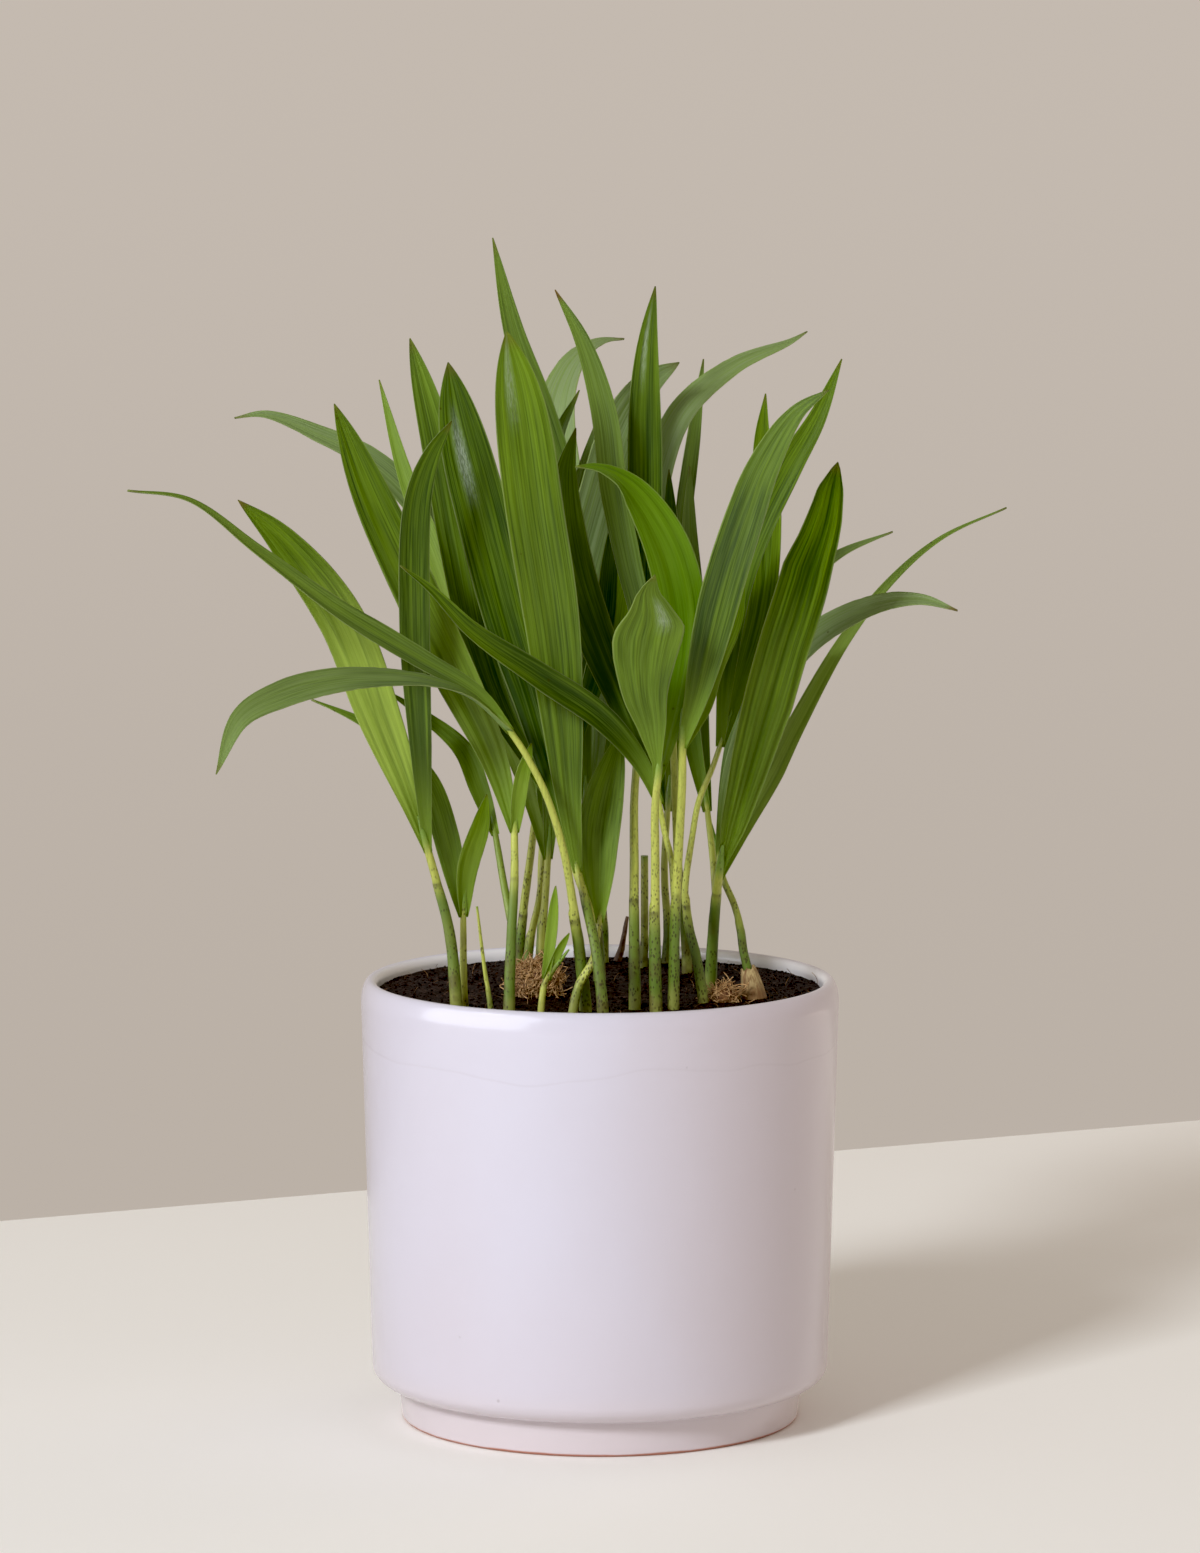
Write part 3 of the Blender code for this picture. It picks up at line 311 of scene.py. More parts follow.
# leafy_stem_18
seedling((-24, 27))
leaf([(-23, 144, 26), (-20, 168, 24), (-18, 184, 21)], (1.9, 1.2))
lobe([(-23, 206, 20), (-32, 232, 18), (-42, 253, 17), (-54, 270, 17), (-67, 282, 19), (-81, 289, 23),
     (-97, 295, 28), (-106, 294, 32)], 8.5, widest=0.55, tip=2.1, face=(-5, 10), end=(0, 40), bloom=0.65)
lobe([(-15, 206, 30), (-9, 235, 48), (-3, 264, 68), (3, 290, 88)], 10.0, face=(20, 35), tone=0.4)

# leafy_stem_19
seedling((-18, 42))
leaf([(-17, 143, 42), (-17, 162, 41), (-16, 182, 40)], (2.0, 1.3))
lobe([(-23, 212, 52), (-32, 241, 68), (-38, 264, 86)], 11.0, face=(-25, 35))
lobe([(-13, 212, 50), (-9, 241, 64), (-4, 267, 82)], 10.0, face=(5, 35), tone=0.45)

# leafy_stem_20
seedling((1, 51))
leaf([(1, 143, 50), (0, 162, 49), (-1, 179, 47)], (2.0, 1.3))
lobe([(-3, 212, 60), (-8, 241, 78), (-12, 264, 98)], 11.0, face=(-10, 40), tone=0.3)
lobe([(3, 212, 54), (7, 241, 66), (12, 270, 82)], 10.0, face=(20, 30), tone=0.4)

# leafy_stem_21
seedling((20, 50))
leaf([(20, 143, 49), (19, 162, 48), (20, 182, 46)], (2.0, 1.3))
lobe([(17, 212, 58), (15, 241, 74), (15, 264, 92)], 11.0, face=(-5, 40), tone=0.42)
lobe([(24, 212, 56), (31, 238, 70), (39, 261, 86)], 10.0, face=(30, 35))

# Bare shoots: (node, piece, foot, stalk, radii)
BARE_SHOOTS = [
    ("spear_shoot", "unopened_spear", (-31, -46), [(-34, 134, -46), (-36, 151, -46)], (1.2, 0.4)),
    ("cut_stub", "cut_stalk_stub", (13, 47), [(13, 141, 46), (13, 166, 45)], (1.5, 1.3)),
    ("dry_stub", "withered_stub", (5, 57), [(6, 138, 57), (8, 148, 57)], (2.4, 0.6)),
]

# Seeds: (node, piece, middle, half sizes, number of loose fibres for each square metre)
SEEDS = [
    ("fibrous_seed", "fibrous_seed_coat", (-19, -12, 130.5), (6.6, 5.6, 5.6), 1.9e6),
    ("seed_husk", "old_seed_coat", (35.5, -26, 128.0), (4.2, 3.4, 3.2), 1.2e6),
]
SEED_RIDGE = 0.07
SEED_RIDGES = 9
SEED_DENTS = 0.05
SEED_SIZES = {"Above": (SOIL_TOP - 1) * MM, "Fibre Length": 6.5 * MM, "Seed": 9}

# The dry collar round the foot of the twelfth seedling
HUSK_OWNER = 12
HUSK_INNER_GAP = 0.35
HUSK_WALL = 0.5
HUSK_RAISED = 0.2
HUSK_HEIGHT = 9.4
HUSK_SWELL = 1.1
HUSK_FROM, HUSK_TO = -60, 230
HUSK_SIDES = 56
HUSK_ROWS = 22

# The table: the left end of its back edge, the edge's slant, and how far the table goes sideways and forwards
TABLE_CORNER = (-0.206, 0.3006)
TABLE_SLANT = 25
TABLE_MIDDLE = 0.2
TABLE_REACH = 1.6
TABLE_DEPTH = 2.4

# Lamps: (name, place, size, power, colour, whether it is only seen mirrored in what is glossy)
LAMPS = [
    ("window", (-1.72, -2.59, 1.96), (0.7, 0.7), 90, (1.0, 1.05, 1.1), False),
    ("window sheen", (-1.52, -0.74, 0.78), (2.0, 1.5), 30.0, (0.95, 1.0, 1.1), True),
    ("window spark", (-1.07, -0.69, 1.43), (0.75, 0.18), 2.7, (1.0, 1.0, 1.05), True),
    ("warm bounce", (1.15, 0.9, 0.25), (0.8, 0.8), 5.6, (1.0, 0.86, 0.72), False),
]
LAMPS_POINT_AT = (0, 0, 0.16)
BLACK_LEVEL = 0.011


def tint(red, green, blue):
    """A colour given as 0 to 255 for each screen value, as the light that a shader works with."""
    light = []
    for value in (red, green, blue):
        share = value / 255
        light.append(share / 12.92 if share < 0.04045 else ((share + 0.055) / 1.055) ** 2.4)
    return (*light, 1.0)


DEEP_GREEN = tint(33, 60, 0)
FRESH_GREEN = tint(134, 168, 16)
LUSH_GREEN = tint(96, 144, 0)
PAINTED_SHEEN_PALE = tint(196, 210, 188)
STALK_YELLOW = tint(200, 204, 96)
NECK_GREEN = tint(112, 142, 50)
BASE_GREEN = tint(132, 160, 58)
SHEATH_GREEN = tint(74, 104, 30)
SHEATH_OLIVE = tint(108, 122, 44)
SHEATH_STAIN = tint(84, 66, 34)
# Green of light through a blade: painted into lower halves, and the translucent shader's colour
BACKLIGHT_GREEN = tint(170, 194, 80)
BLOOM_GREY = tint(146, 162, 120)
UNDERSIDE_GREEN = tint(140, 164, 112)
# Painted sheen on the blades
MARGIN_PALE = tint(176, 190, 120)
DRY_TIP = tint(120, 88, 50)
BLEMISH = tint(70, 60, 20)
STALK_SPECK = tint(48, 34, 16)
STALK_FOOT = tint(176, 170, 96)
SOIL_DARK = tint(21, 12, 9)
SOIL_WARM = tint(86, 56, 43)
FIBRE_TAN = tint(228, 190, 138)
SEED_BROWN = tint(128, 92, 58)
FIBRE_BROWN = tint(168, 126, 82)
HUSK_TAN = tint(186, 166, 118)
HUSK_BROWN = tint(120, 88, 56)
STUB_BROWN = tint(128, 100, 76)
GLAZE_WHITE = tint(206, 203, 218)
GLAZE_SHADE = tint(203, 198, 211)
GLAZE_FOOT = tint(210, 198, 200)
# Painted shade for the pot's side away from the window
GLAZE_PAINTED_SHADE = tint(202, 192, 199)
# Painted light for the inner wall of the lip
GLAZE_PAINTED_LIGHT_INSIDE = tint(244, 240, 244)
GLAZE_LINE = tint(170, 158, 165)
GLAZE_PIT = tint(150, 138, 140)
BARE_CLAY = tint(168, 112, 92)
FLOOR_PALE = tint(246, 244, 240)
FLOOR_CLOUD = tint(237, 233, 227)
WALL_LOW = tint(188, 178, 168)
WALL_HIGH = tint(197, 187, 177)
CEILING = tint(172, 163, 154)


# Points and curves, by the same rules as the solids

def seen(across, up, depth):
    """The point that the eye sees at (across, up) on the upright middle plane, moved along its sight line."""
    grow = 1 + depth / EYE_DISTANCE
    return (across * grow, depth, EYE_HEIGHT + (up - EYE_HEIGHT) * grow)


def curve_points(points):
    """Many points along a smooth curve through the given ones (a centripetal Catmull-Rom spline)."""
    ends = [2 * points[0] - points[1], 2 * points[-1] - points[-2]]
    chain = [ends[0], *points, ends[1]]
    found = []
    for a, b, c, d in zip(chain, chain[1:], chain[2:], chain[3:]):
        times = np.cumsum([0] + [math.sqrt(np.linalg.norm(q - p)) for p, q in ((a, b), (b, c), (c, d))])
        steps = max(2, int(np.linalg.norm(c - b) / CURVE_STEP))
        for at in np.linspace(times[1], times[2], steps, endpoint=False):
            ab = a + (b - a) * (at - times[0]) / (times[1] - times[0])
            bc = b + (c - b) * (at - times[1]) / (times[2] - times[1])
            cd = c + (d - c) * (at - times[2]) / (times[3] - times[2])
            abc = ab + (bc - ab) * (at - times[0]) / (times[2] - times[0])
            bcd = bc + (cd - bc) * (at - times[1]) / (times[3] - times[1])
            found.append(abc + (bcd - abc) * (at - times[1]) / (times[2] - times[1]))
    found.append(points[-1])
    return np.array(found)


def along(points, shares):
    """Points of a smooth curve at the given shares of its length."""
    dense = curve_points([np.array(point, float) for point in points])
    lengths = np.concatenate([[0], np.cumsum(np.linalg.norm(np.diff(dense, axis=0), axis=1))])
    wanted = np.array(shares) * lengths[-1]
    return np.stack([np.interp(wanted, lengths, dense[:, k]) for k in range(3)], axis=1)


def length_of(points):
    dense = along(points, np.linspace(0, 1, 60))
    return float(np.linalg.norm(np.diff(dense, axis=0), axis=1).sum())


def unit(vector):
    return vector / np.linalg.norm(vector)


def directions(points):
    return np.array([unit(v) for v in np.gradient(points, axis=0)])


def facing(turn, tip_up):
    turn, tip_up = math.radians(turn), math.radians(tip_up)
    level = math.cos(tip_up)
    return np.array([math.sin(turn) * level, -math.cos(turn) * level, math.sin(tip_up)])


def reach_of(share, shape):
    """How far the blade reaches to the left and right of its middle at a share of its length."""
    if not shape.sides:
        return [lance_width(share, shape) / 2] * 2
    shares = [row[0] for row in shape.sides]
    return [float(np.interp(share, shares, [row[k] for row in shape.sides])) for k in (1, 2)]


def lance_width(share, shape):
    """The blade's width at a share of its length: a quick swell from the neck, then a point."""
    if share < shape.widest:
        swell = math.sin(math.pi / 2 * share / shape.widest)
        return BLADE_ROOT_WIDTH + (shape.width - BLADE_ROOT_WIDTH) * swell
    past = (share - shape.widest) / (1 - shape.widest)
    return BLADE_TIP_WIDTH + (shape.width - BLADE_TIP_WIDTH) * (1 - past**shape.tip)


def stalk_path(foot, stalk):
    """From the bottom of the stalk's hole up through the points it is seen at."""
    start = [(*foot, SOIL_TOP - HOLE_DEPTH), (*foot, SOIL_TOP - 1)] if foot else []
    return start + [seen(*point) for point in stalk]


def stalk_radius(share, thick):
    return thick[0] + (thick[1] - thick[0]) * share**0.8


def soil_height(x, y):
    """The soil's slightly uneven top."""
    across, back = x / SOIL_HUMP_SIZE[0], y / SOIL_HUMP_SIZE[1]
    return SOIL_TOP + SOIL_HUMP * math.sin(across + 0.6) * math.cos(back - 0.4)


# Node trees

class Wire:
    """A node's output. What is reckoned from it adds further nodes to its tree."""

    def __init__(self, net, socket):
        self.net, self.socket = net, socket

    def reckoned(self, operation, *others):
        return self.net.add("ShaderNodeMath", dict(enumerate((self, *others))), operation=operation)

    def __add__(self, other):
        return self.reckoned("ADD", other)

    def __sub__(self, other):
        return self.reckoned("SUBTRACT", other)

    def __rsub__(self, other):
        return self.net.add("ShaderNodeMath", {0: other, 1: self}, operation="SUBTRACT")

    def __mul__(self, other):
        return self.reckoned("MULTIPLY", other)

    def __pow__(self, other):
        return self.reckoned("POWER", other)

    def __abs__(self):
        return self.reckoned("ABSOLUTE")

    def rise(self, low, high, to_low=0.0, to_high=1.0):
        """A smooth step from to_low to to_high as the value goes from low to high."""
        values = {0: self, 1: low, 2: high, 3: to_low, 4: to_high}
        return self.net.add("ShaderNodeMapRange", values, interpolation_type="SMOOTHSTEP")

    def part(self, axis):
        return self.net.add("ShaderNodeSeparateXYZ", {0: self}, axis)

    def arrow(self, operation, *others, out=0):
        values = dict(enumerate((self, *others)))
        return self.net.add("ShaderNodeVectorMath", values, out, operation=operation)

    def scaled(self, by):
        return self.net.add("ShaderNodeVectorMath", {0: self, "Scale": by}, operation="SCALE")

    def stretched(self, *by):
        return self.arrow("MULTIPLY", by)

    def moved(self, way, by):
        """This place, moved along a way."""
        return self.arrow("ADD", way.scaled(by))

    def noise(self, scale, detail=2.0, rough=0.5):
        """Soft noise at this place."""
        values = {"Vector": self, "Scale": scale, "Detail": detail, "Roughness": rough}
        return self.net.add("ShaderNodeTexNoise", values)

    def cells(self, scale):
        """How far this place is from the nearest of many scattered points."""
        return self.net.add("ShaderNodeTexVoronoi", {"Vector": self, "Scale": scale}, "Distance")


class Net:
    """Adds nodes to one tree, with their links, and gives back their outputs."""

    def __init__(self, tree, material=None):
        self.tree, self.material = tree, material

    def add(self, kind, values=None, out=0, **settings):
        """A node with its settings and its inputs, given by socket name or place. Gives back its outputs."""
        node = self.tree.nodes.new(kind)
        for name, setting in settings.items():
            setattr(node, name, setting)
        for key, value in (values or {}).items():
            if isinstance(value, Wire):
                self.tree.links.new(value.socket, node.inputs[key])
            else:
                node.inputs[key].default_value = value
        if isinstance(out, tuple):
            return [Wire(self, node.outputs[name]) for name in out]
        return Wire(self, node.outputs[out])

    def mixed(self, share, a, b):
        return self.add("ShaderNodeMix", {0: share, 6: a, 7: b}, 2, data_type="RGBA")

    def joined(self, x, y, z):
        return self.add("ShaderNodeCombineXYZ", {0: x, 1: y, 2: z})

    def mark(self, name):
        """A value of the piece, for its material."""
        return self.add("ShaderNodeAttribute", out="Fac", attribute_name=name, attribute_type="GEOMETRY")

    def here(self):
        return self.add("GeometryNodeInputPosition")

    def named(self, name, kind="FLOAT"):
        return self.add("GeometryNodeInputNamedAttribute", {"Name": name}, data_type=kind)

    def stored(self, shape, name, value, kind="FLOAT", **only):
        values = {"Geometry": shape, "Name": name, "Value": value, **only}
        return self.add("GeometryNodeStoreNamedAttribute", values, data_type=kind)

    def placed(self, shape, spot):
        return self.add("GeometryNodeSetPosition", {"Geometry": shape, "Position": spot})

    def together(self, *shapes):
        whole = self.add("GeometryNodeJoinGeometry")
        for shape in shapes:
            self.tree.links.new(shape.socket, whole.socket.node.inputs[0])
        return whole

    def chains(self, given):
        """The given chains as curves, with each point's own place kept as a value."""
        chains = self.add("GeometryNodeMeshToCurve", {"Mesh": given["Geometry"]})
        return self.stored(chains, "spine", self.here(), "FLOAT_VECTOR")

    def tube(self, curve, sides, radius):
        ring = self.add("GeometryNodeCurvePrimitiveCircle", {"Resolution": sides, "Radius": radius})
        return self.add("GeometryNodeCurveToMesh", {"Curve": curve, "Profile Curve": ring, "Fill Caps": True})


def new_tree(name, counts, sizes, materials=("Material",)):
    """A Geometry Nodes tree with a geometry in and out, and inputs for its counts, sizes and materials."""
    tree = bpy.data.node_groups.new(name, "GeometryNodeTree")
    tree.interface.new_socket("Geometry", in_out="OUTPUT", socket_type="NodeSocketGeometry")
    tree.interface.new_socket("Geometry", in_out="INPUT", socket_type="NodeSocketGeometry")
    for kind, labels in (("Int", counts), ("Float", sizes), ("Material", materials)):
        for label in labels:
            tree.interface.new_socket(label, in_out="INPUT", socket_type="NodeSocket" + kind)
    net = Net(tree)
    return net, {socket.name: Wire(net, socket) for socket in tree.nodes.new("NodeGroupInput").outputs}


def close_tree(net, *parts):
    """The tree's end: every part in its material, with whole meshes in place of instances."""
    dressed = [net.add("GeometryNodeSetMaterial", {"Geometry": shape, "Material": material})
               for shape, material in parts]
    whole = net.add("GeometryNodeRealizeInstances", {0: net.together(*dressed)})
    net.add("NodeGroupOutput", {0: whole}, out=())
    return net.tree


def smooth(net, shape):
    return net.add("GeometryNodeSetShadeSmooth", {"Geometry": shape, "Shade Smooth": True})


def blade_tree():
    """Pleated blades swept along every chain, with both faces, thin margins and fine ribs."""
    net, given = new_tree("pleated blade", ["Columns"], [
        "Middle Thickness", "Margin Thickness", "Rib Height", "Margin Wave", "Wave Scale"])
    chains = net.chains(given)
    line = net.add("GeometryNodeMeshLine", {"Count": given["Columns"], "Start Location": (-1, 0, 0),
                                            "Offset": (1, 0, 0)}, mode="END_POINTS")
    line = net.stored(line, "across", net.here().part("X"))
    line = net.add("GeometryNodeMeshToCurve", {"Mesh": line})
    sheet = net.add("GeometryNodeCurveToMesh", {"Curve": chains, "Profile Curve": line})

    across, half, phase = net.named("across"), net.named("half_width"), net.named("phase")
    spine, towards = net.named("spine", "FLOAT_VECTOR"), net.named("towards", "FLOAT_VECTOR")
    side = net.named("forward", "FLOAT_VECTOR").arrow("CROSS_PRODUCT", towards)
    out = abs(across)
    # The fold is a V with a soft bottom, and the pleats are waves from one margin to the other
    soft = (across * across + 0.02).reckoned("SQRT") - 0.141
    turn = across * (net.named("pleats") * math.pi)
    ridge = (turn + phase).reckoned("COSINE") * 0.65 + (turn * 2.3 + phase * 3.0).reckoned("COSINE") * 0.35
    rise = net.named("fold") * soft + net.named("pleat") * ridge
    ribs = (across * net.named("ribs") * (2 * math.pi)).reckoned("COSINE")
    wide_enough = half.rise(0.0008, 0.003)
    ribs = ribs * given["Rib Height"] * wide_enough
    wave = spine.moved(side, across).noise(given["Wave Scale"], 1.0) - 0.5
    wave = wave * given["Margin Wave"] * out**3.0
    lift = rise * half + ribs + wave * wide_enough
    sheet = net.placed(sheet, spine.moved(side, across * half + net.named("shift")).moved(towards, lift))
    sheet = net.stored(net.stored(sheet, "upper", 1.0), "crest", ridge)

    middle, margin = given["Middle Thickness"], given["Margin Thickness"]
    thick = out.rise(0.1, 1.0, 1.0, 0.0) * (middle - margin) + margin
    raised, top = net.add("GeometryNodeExtrudeMesh", {
        "Mesh": sheet, "Offset Scale": 0.0, "Individual": False}, out=("Mesh", "Top"), mode="FACES")
    back = net.add("GeometryNodeSetPosition", {"Geometry": raised, "Selection": top,
                                               "Offset": towards.scaled(thick * -1.0)})
    both = net.together(sheet, net.stored(back, "upper", 0.0, Selection=top))
    both = net.add("GeometryNodeMergeByDistance", {"Geometry": both, "Distance": 1e-7})
    return close_tree(net, (smooth(net, both), given["Material"]))


def stalk_tree():
    """Round stalks along every chain: a sheath that ends in a slanting lip, then a grooved stalk."""
    net, given = new_tree("stalk in its sheath", ["Sides"], ["Sheath Wall", "Lip Slant", "Groove", "Wobble"])
    tube = net.tube(net.chains(given), given["Sides"], MM)
    spine = net.named("spine", "FLOAT_VECTOR")
    outward = net.here().arrow("SUBTRACT", spine).arrow("NORMALIZE")
    turned = outward.arrow("DOT_PRODUCT", net.named("lip_side", "FLOAT_VECTOR"), out=1)
    lip = net.named("sheath_end") + turned * given["Lip Slant"]
    sheath = (lip - net.named("along")).rise(0.0, 0.012)
    radius = net.named("radius_here")
    groove = turned.rise(0.45, 1.0) * (given["Groove"] * radius) * (1.0 - sheath)
    wobble = (spine.moved(outward, 0.004).noise(180.0, 1.0) - 0.5) * (given["Wobble"] * radius)
    wall = sheath * (given["Sheath Wall"] * radius)
    tube = net.placed(tube, spine.moved(outward, radius + wobble + (wall - groove)))
    return close_tree(net, (smooth(net, tube), given["Material"]))


def scatter(net, given, top, amount, size, least_share, shape, seed, tilts=(-math.pi, math.pi)):
    """Copies of a small shape at random over the top, each of its own size, tilt and turn."""
    seed = given["Seed"] + seed
    points, turns = net.add("GeometryNodeDistributePointsOnFaces", {
        "Mesh": given["Geometry"], "Selection": top, "Density": given[amount], "Seed": seed},
        out=("Points", "Rotation"), distribute_method="RANDOM")
    least, most = (tilts[0], 0.0, 0.0), (tilts[1], 0.0, 2 * math.pi)
    turn = net.add("FunctionNodeRandomValue", {0: least, 1: most, "Seed": seed + 1.0},
                   data_type="FLOAT_VECTOR")
    turn = net.add("FunctionNodeEulerToRotation", {0: turn})
    turn = net.add("FunctionNodeRotateRotation", {0: turns, 1: turn}, rotation_space="LOCAL")
    share = net.add("FunctionNodeRandomValue", {2: 0.0, 3: 1.0, "Seed": seed + 2.0}, 1, data_type="FLOAT")
    least = given[size] * least_share
    copies = net.add("GeometryNodeInstanceOnPoints", {
        "Points": points, "Instance": shape, "Rotation": turn,
        "Scale": share**2.2 * (given[size] - least) + least})
    return net.add("GeometryNodeRealizeInstances", {0: copies})


def strand(net, bend, radius, rows=5):
    """A thin bent fibre of length about 1, starting along +Z."""
    bow = net.add("GeometryNodeCurveQuadraticBezier", {
        "Resolution": rows, "Start": (0, 0, 0), "Middle": (0, 0, 0.5), "End": (bend, 0, 0.75)})
    return net.tube(bow, 3, radius)


def crumb(net, faces_a_side, seed):
    """A rough little lump of radius about 1: a box blown round and dented."""
    rows = {"Vertices " + axis: faces_a_side + 1 for axis in "XYZ"}
    box = net.add("GeometryNodeMeshCube", {"Size": (1, 1, 1), **rows})
    place = net.here()
    dent = place.arrow("ADD", (seed * 3.7, 0.0, 0.0)).noise(1.3, 1.0)
    return net.placed(box, place.arrow("NORMALIZE").scaled(dent * 1.5 + 0.25))


def soil_tree():
    """Crumbs, lumps and short root hairs over the top of the soil."""
    net, given = new_tree("crumbly soil", ["Seed"], [
        "Top", "Crumbs", "Lumps", "Hairs", "Crumb Size", "Lump Size", "Hair Length"],
        ["Material", "Hair Material"])
    top = net.here().part("Z").reckoned("GREATER_THAN", given["Top"])
    crumbs = scatter(net, given, top, "Crumbs", "Crumb Size", 0.3, crumb(net, 1, 1), 11.0)
    lumps = scatter(net, given, top, "Lumps", "Lump Size", 0.4, crumb(net, 2, 2), 23.0)
    hairs = scatter(net, given, top, "Hairs", "Hair Length", 0.4, strand(net, 0.6, 0.022), 37.0, (0.0, 1.3))
    solid = net.together(given["Geometry"], crumbs, lumps)
    return close_tree(net, (solid, given["Material"]), (hairs, given["Hair Material"]))


def fibre_tree():
    """Loose fibres combed round a seed."""
    net, given = new_tree("loose fibres", ["Seed"], ["Above", "Fibres", "Fibre Length"],
                          ["Material", "Fibre Material"])
    top = net.here().part("Z").reckoned("GREATER_THAN", given["Above"])
    fibre = strand(net, 0.5, 0.03, 6)
    loose = scatter(net, given, top, "Fibres", "Fibre Length", 0.4, fibre, 51.0, (1.0, 1.55))
    return close_tree(net, (given["Geometry"], given["Material"]), (loose, given["Fibre Material"]))


# Finishes

def new_finish(name):
    """A material's empty node tree, and the place on the piece."""
    material = bpy.data.materials.new(name)
    material.use_nodes = True
    material.node_tree.nodes.clear()
    net = Net(material.node_tree, material)
    return net, net.add("ShaderNodeTexCoord", out="Object")


def finished(net, colour, roughness, bumps=None, bump=0.0, depth=0.0, through=None, **others):
    """The material, closed with a shader, its bumps, and a colour for light that comes through."""
    values = {"Base Color": colour, "Roughness": roughness}
    values.update({name.replace("_", " "): value for name, value in others.items()})
    if bumps:
        values["Normal"] = net.add("ShaderNodeBump", {"Strength": bump, "Distance": depth, "Height": bumps})
    shader = net.add("ShaderNodeBsdfPrincipled", values)
    if through:
        glowing = net.add("ShaderNodeBsdfTranslucent", {"Color": through})
        shader = net.add("ShaderNodeMixShader", {0: LEAF_TRANSLUCENCE, 1: shader, 2: glowing})
    net.add("ShaderNodeOutputMaterial", {"Surface": shader}, out=())
    return net.material


def leaf_finish():
    """Satin green blade with parallel veins, pale margins and a yellow-green base."""
    net, place = new_finish("areca blade")
    across, share, lobe_seed = net.mark("across"), net.mark("along"), net.mark("lobe_seed")
    gap, veins, crest = net.mark("neck_gap"), net.mark("veins"), net.mark("crest")

    def streaks(crowding, run, detail):
        """Stripes that run the length of the blade and drift slowly."""
        return net.joined(across * (veins * crowding), share * run, lobe_seed).noise(1.0, detail, 0.6)

    band, vein, fine = streaks(0.15, 1.3, 1.0), streaks(0.35, 2.2, 2.0), streaks(1.15, 4.0, 2.0)
    cloud = place.noise(38.0)
    tone = net.mark("tone") + band.rise(0.35, 0.65, -0.1, 0.1) + vein.rise(0.38, 0.62, -0.06, 0.06)
    # Painted shade: lighter pleat crests over darker valleys, and blades darker at the base, lighter at the
    # tip
    tone = tone + fine.rise(0.4, 0.6, -0.11, 0.11) + (cloud - 0.5) * 0.38 + crest * 0.04
    tone = tone + share.rise(0.0, 1.0, -0.16, 0.14)
    # Thin darker threads between the veins, which come and go along the blade
    threads = (across * (veins * math.pi) + vein * 5.0).reckoned("COSINE")
    threads = threads.rise(0.45, 0.95) * fine.rise(0.62, 0.4, 0.35, 1.0)
    colour = net.mixed(tone - threads * 0.2, DEEP_GREEN, FRESH_GREEN)
    colour = net.mixed(net.mark("lush") * vein.rise(0.2, 0.8, 0.7, 1.0), colour, LUSH_GREEN)
    # Painted light: the lower half of the blade is painted yellow-green, standing in for light coming through
    # it
    glow = net.mark("glow") * share.rise(0.84, 0.44)
    colour = net.mixed(glow * vein.rise(0.2, 0.7, 0.4, 1.0), colour, BACKLIGHT_GREEN)
    bloom = net.mark("bloom") * fine.rise(0.3, 0.7, 0.55, 1.0)
    colour = net.mixed(bloom, colour, BLOOM_GREY)
    # The ribs and the whole base turn yellow where the blade gathers into its neck
    base = gap.rise(0.034, 0.001) * 0.8
    lines = crest.rise(0.4, 1.0) * gap.rise(0.075, 0.015, 0.0, 0.4)
    colour = net.mixed(base.reckoned("MAXIMUM", lines), colour, BASE_GREEN)
    colour = net.mixed((1.0 - net.mark("upper")) * 0.5, colour, UNDERSIDE_GREEN)
    colour = net.mixed(abs(across).rise(0.93, 0.99) * 0.4, colour, MARGIN_PALE)
    tip = (share + (cloud - 0.5) * 0.03).rise(0.962, 0.99)
    colour = net.mixed(tip * net.mark("dry"), colour, DRY_TIP)
    rare = place.noise(90.0, 0.0).rise(0.62, 0.7)
    colour = net.mixed(place.cells(210.0).rise(0.11, 0.05) * (rare * 0.7), colour, BLEMISH)

    def patch(value, middle, reach):
        """Falls from 1 at the middle to 0 at the reach on either side."""
        return abs(value - middle).rise(reach, 0.0)

    # Painted sheen: a pale speckled patch stands in for a highlight on the blade
    painted_sheen_patch = patch(share, net.mark("wax_at"), 0.12) * patch(across, net.mark("wax_side"), 0.36)
    flecks = net.joined(across * (veins * 1.6), gap * 420.0, lobe_seed).noise(1.0, 2.0, 0.7)
    painted_sheen_patch = painted_sheen_patch * net.mark("wax") * flecks.rise(0.38, 0.66, 0.25, 1.0)
    colour = net.mixed(painted_sheen_patch * 0.85, colour, PAINTED_SHEEN_PALE)
    bumps = vein * 0.6 + fine * 0.35 + place.noise(1500.0, 1.0) * 0.3 - threads * 0.35
    return finished(net, colour, vein * 0.2 + bloom * 0.15 + 0.26, bumps, 0.6, 0.00012,
                    through=net.mixed(0.45, colour, BACKLIGHT_GREEN), Specular_IOR_Level=0.2)


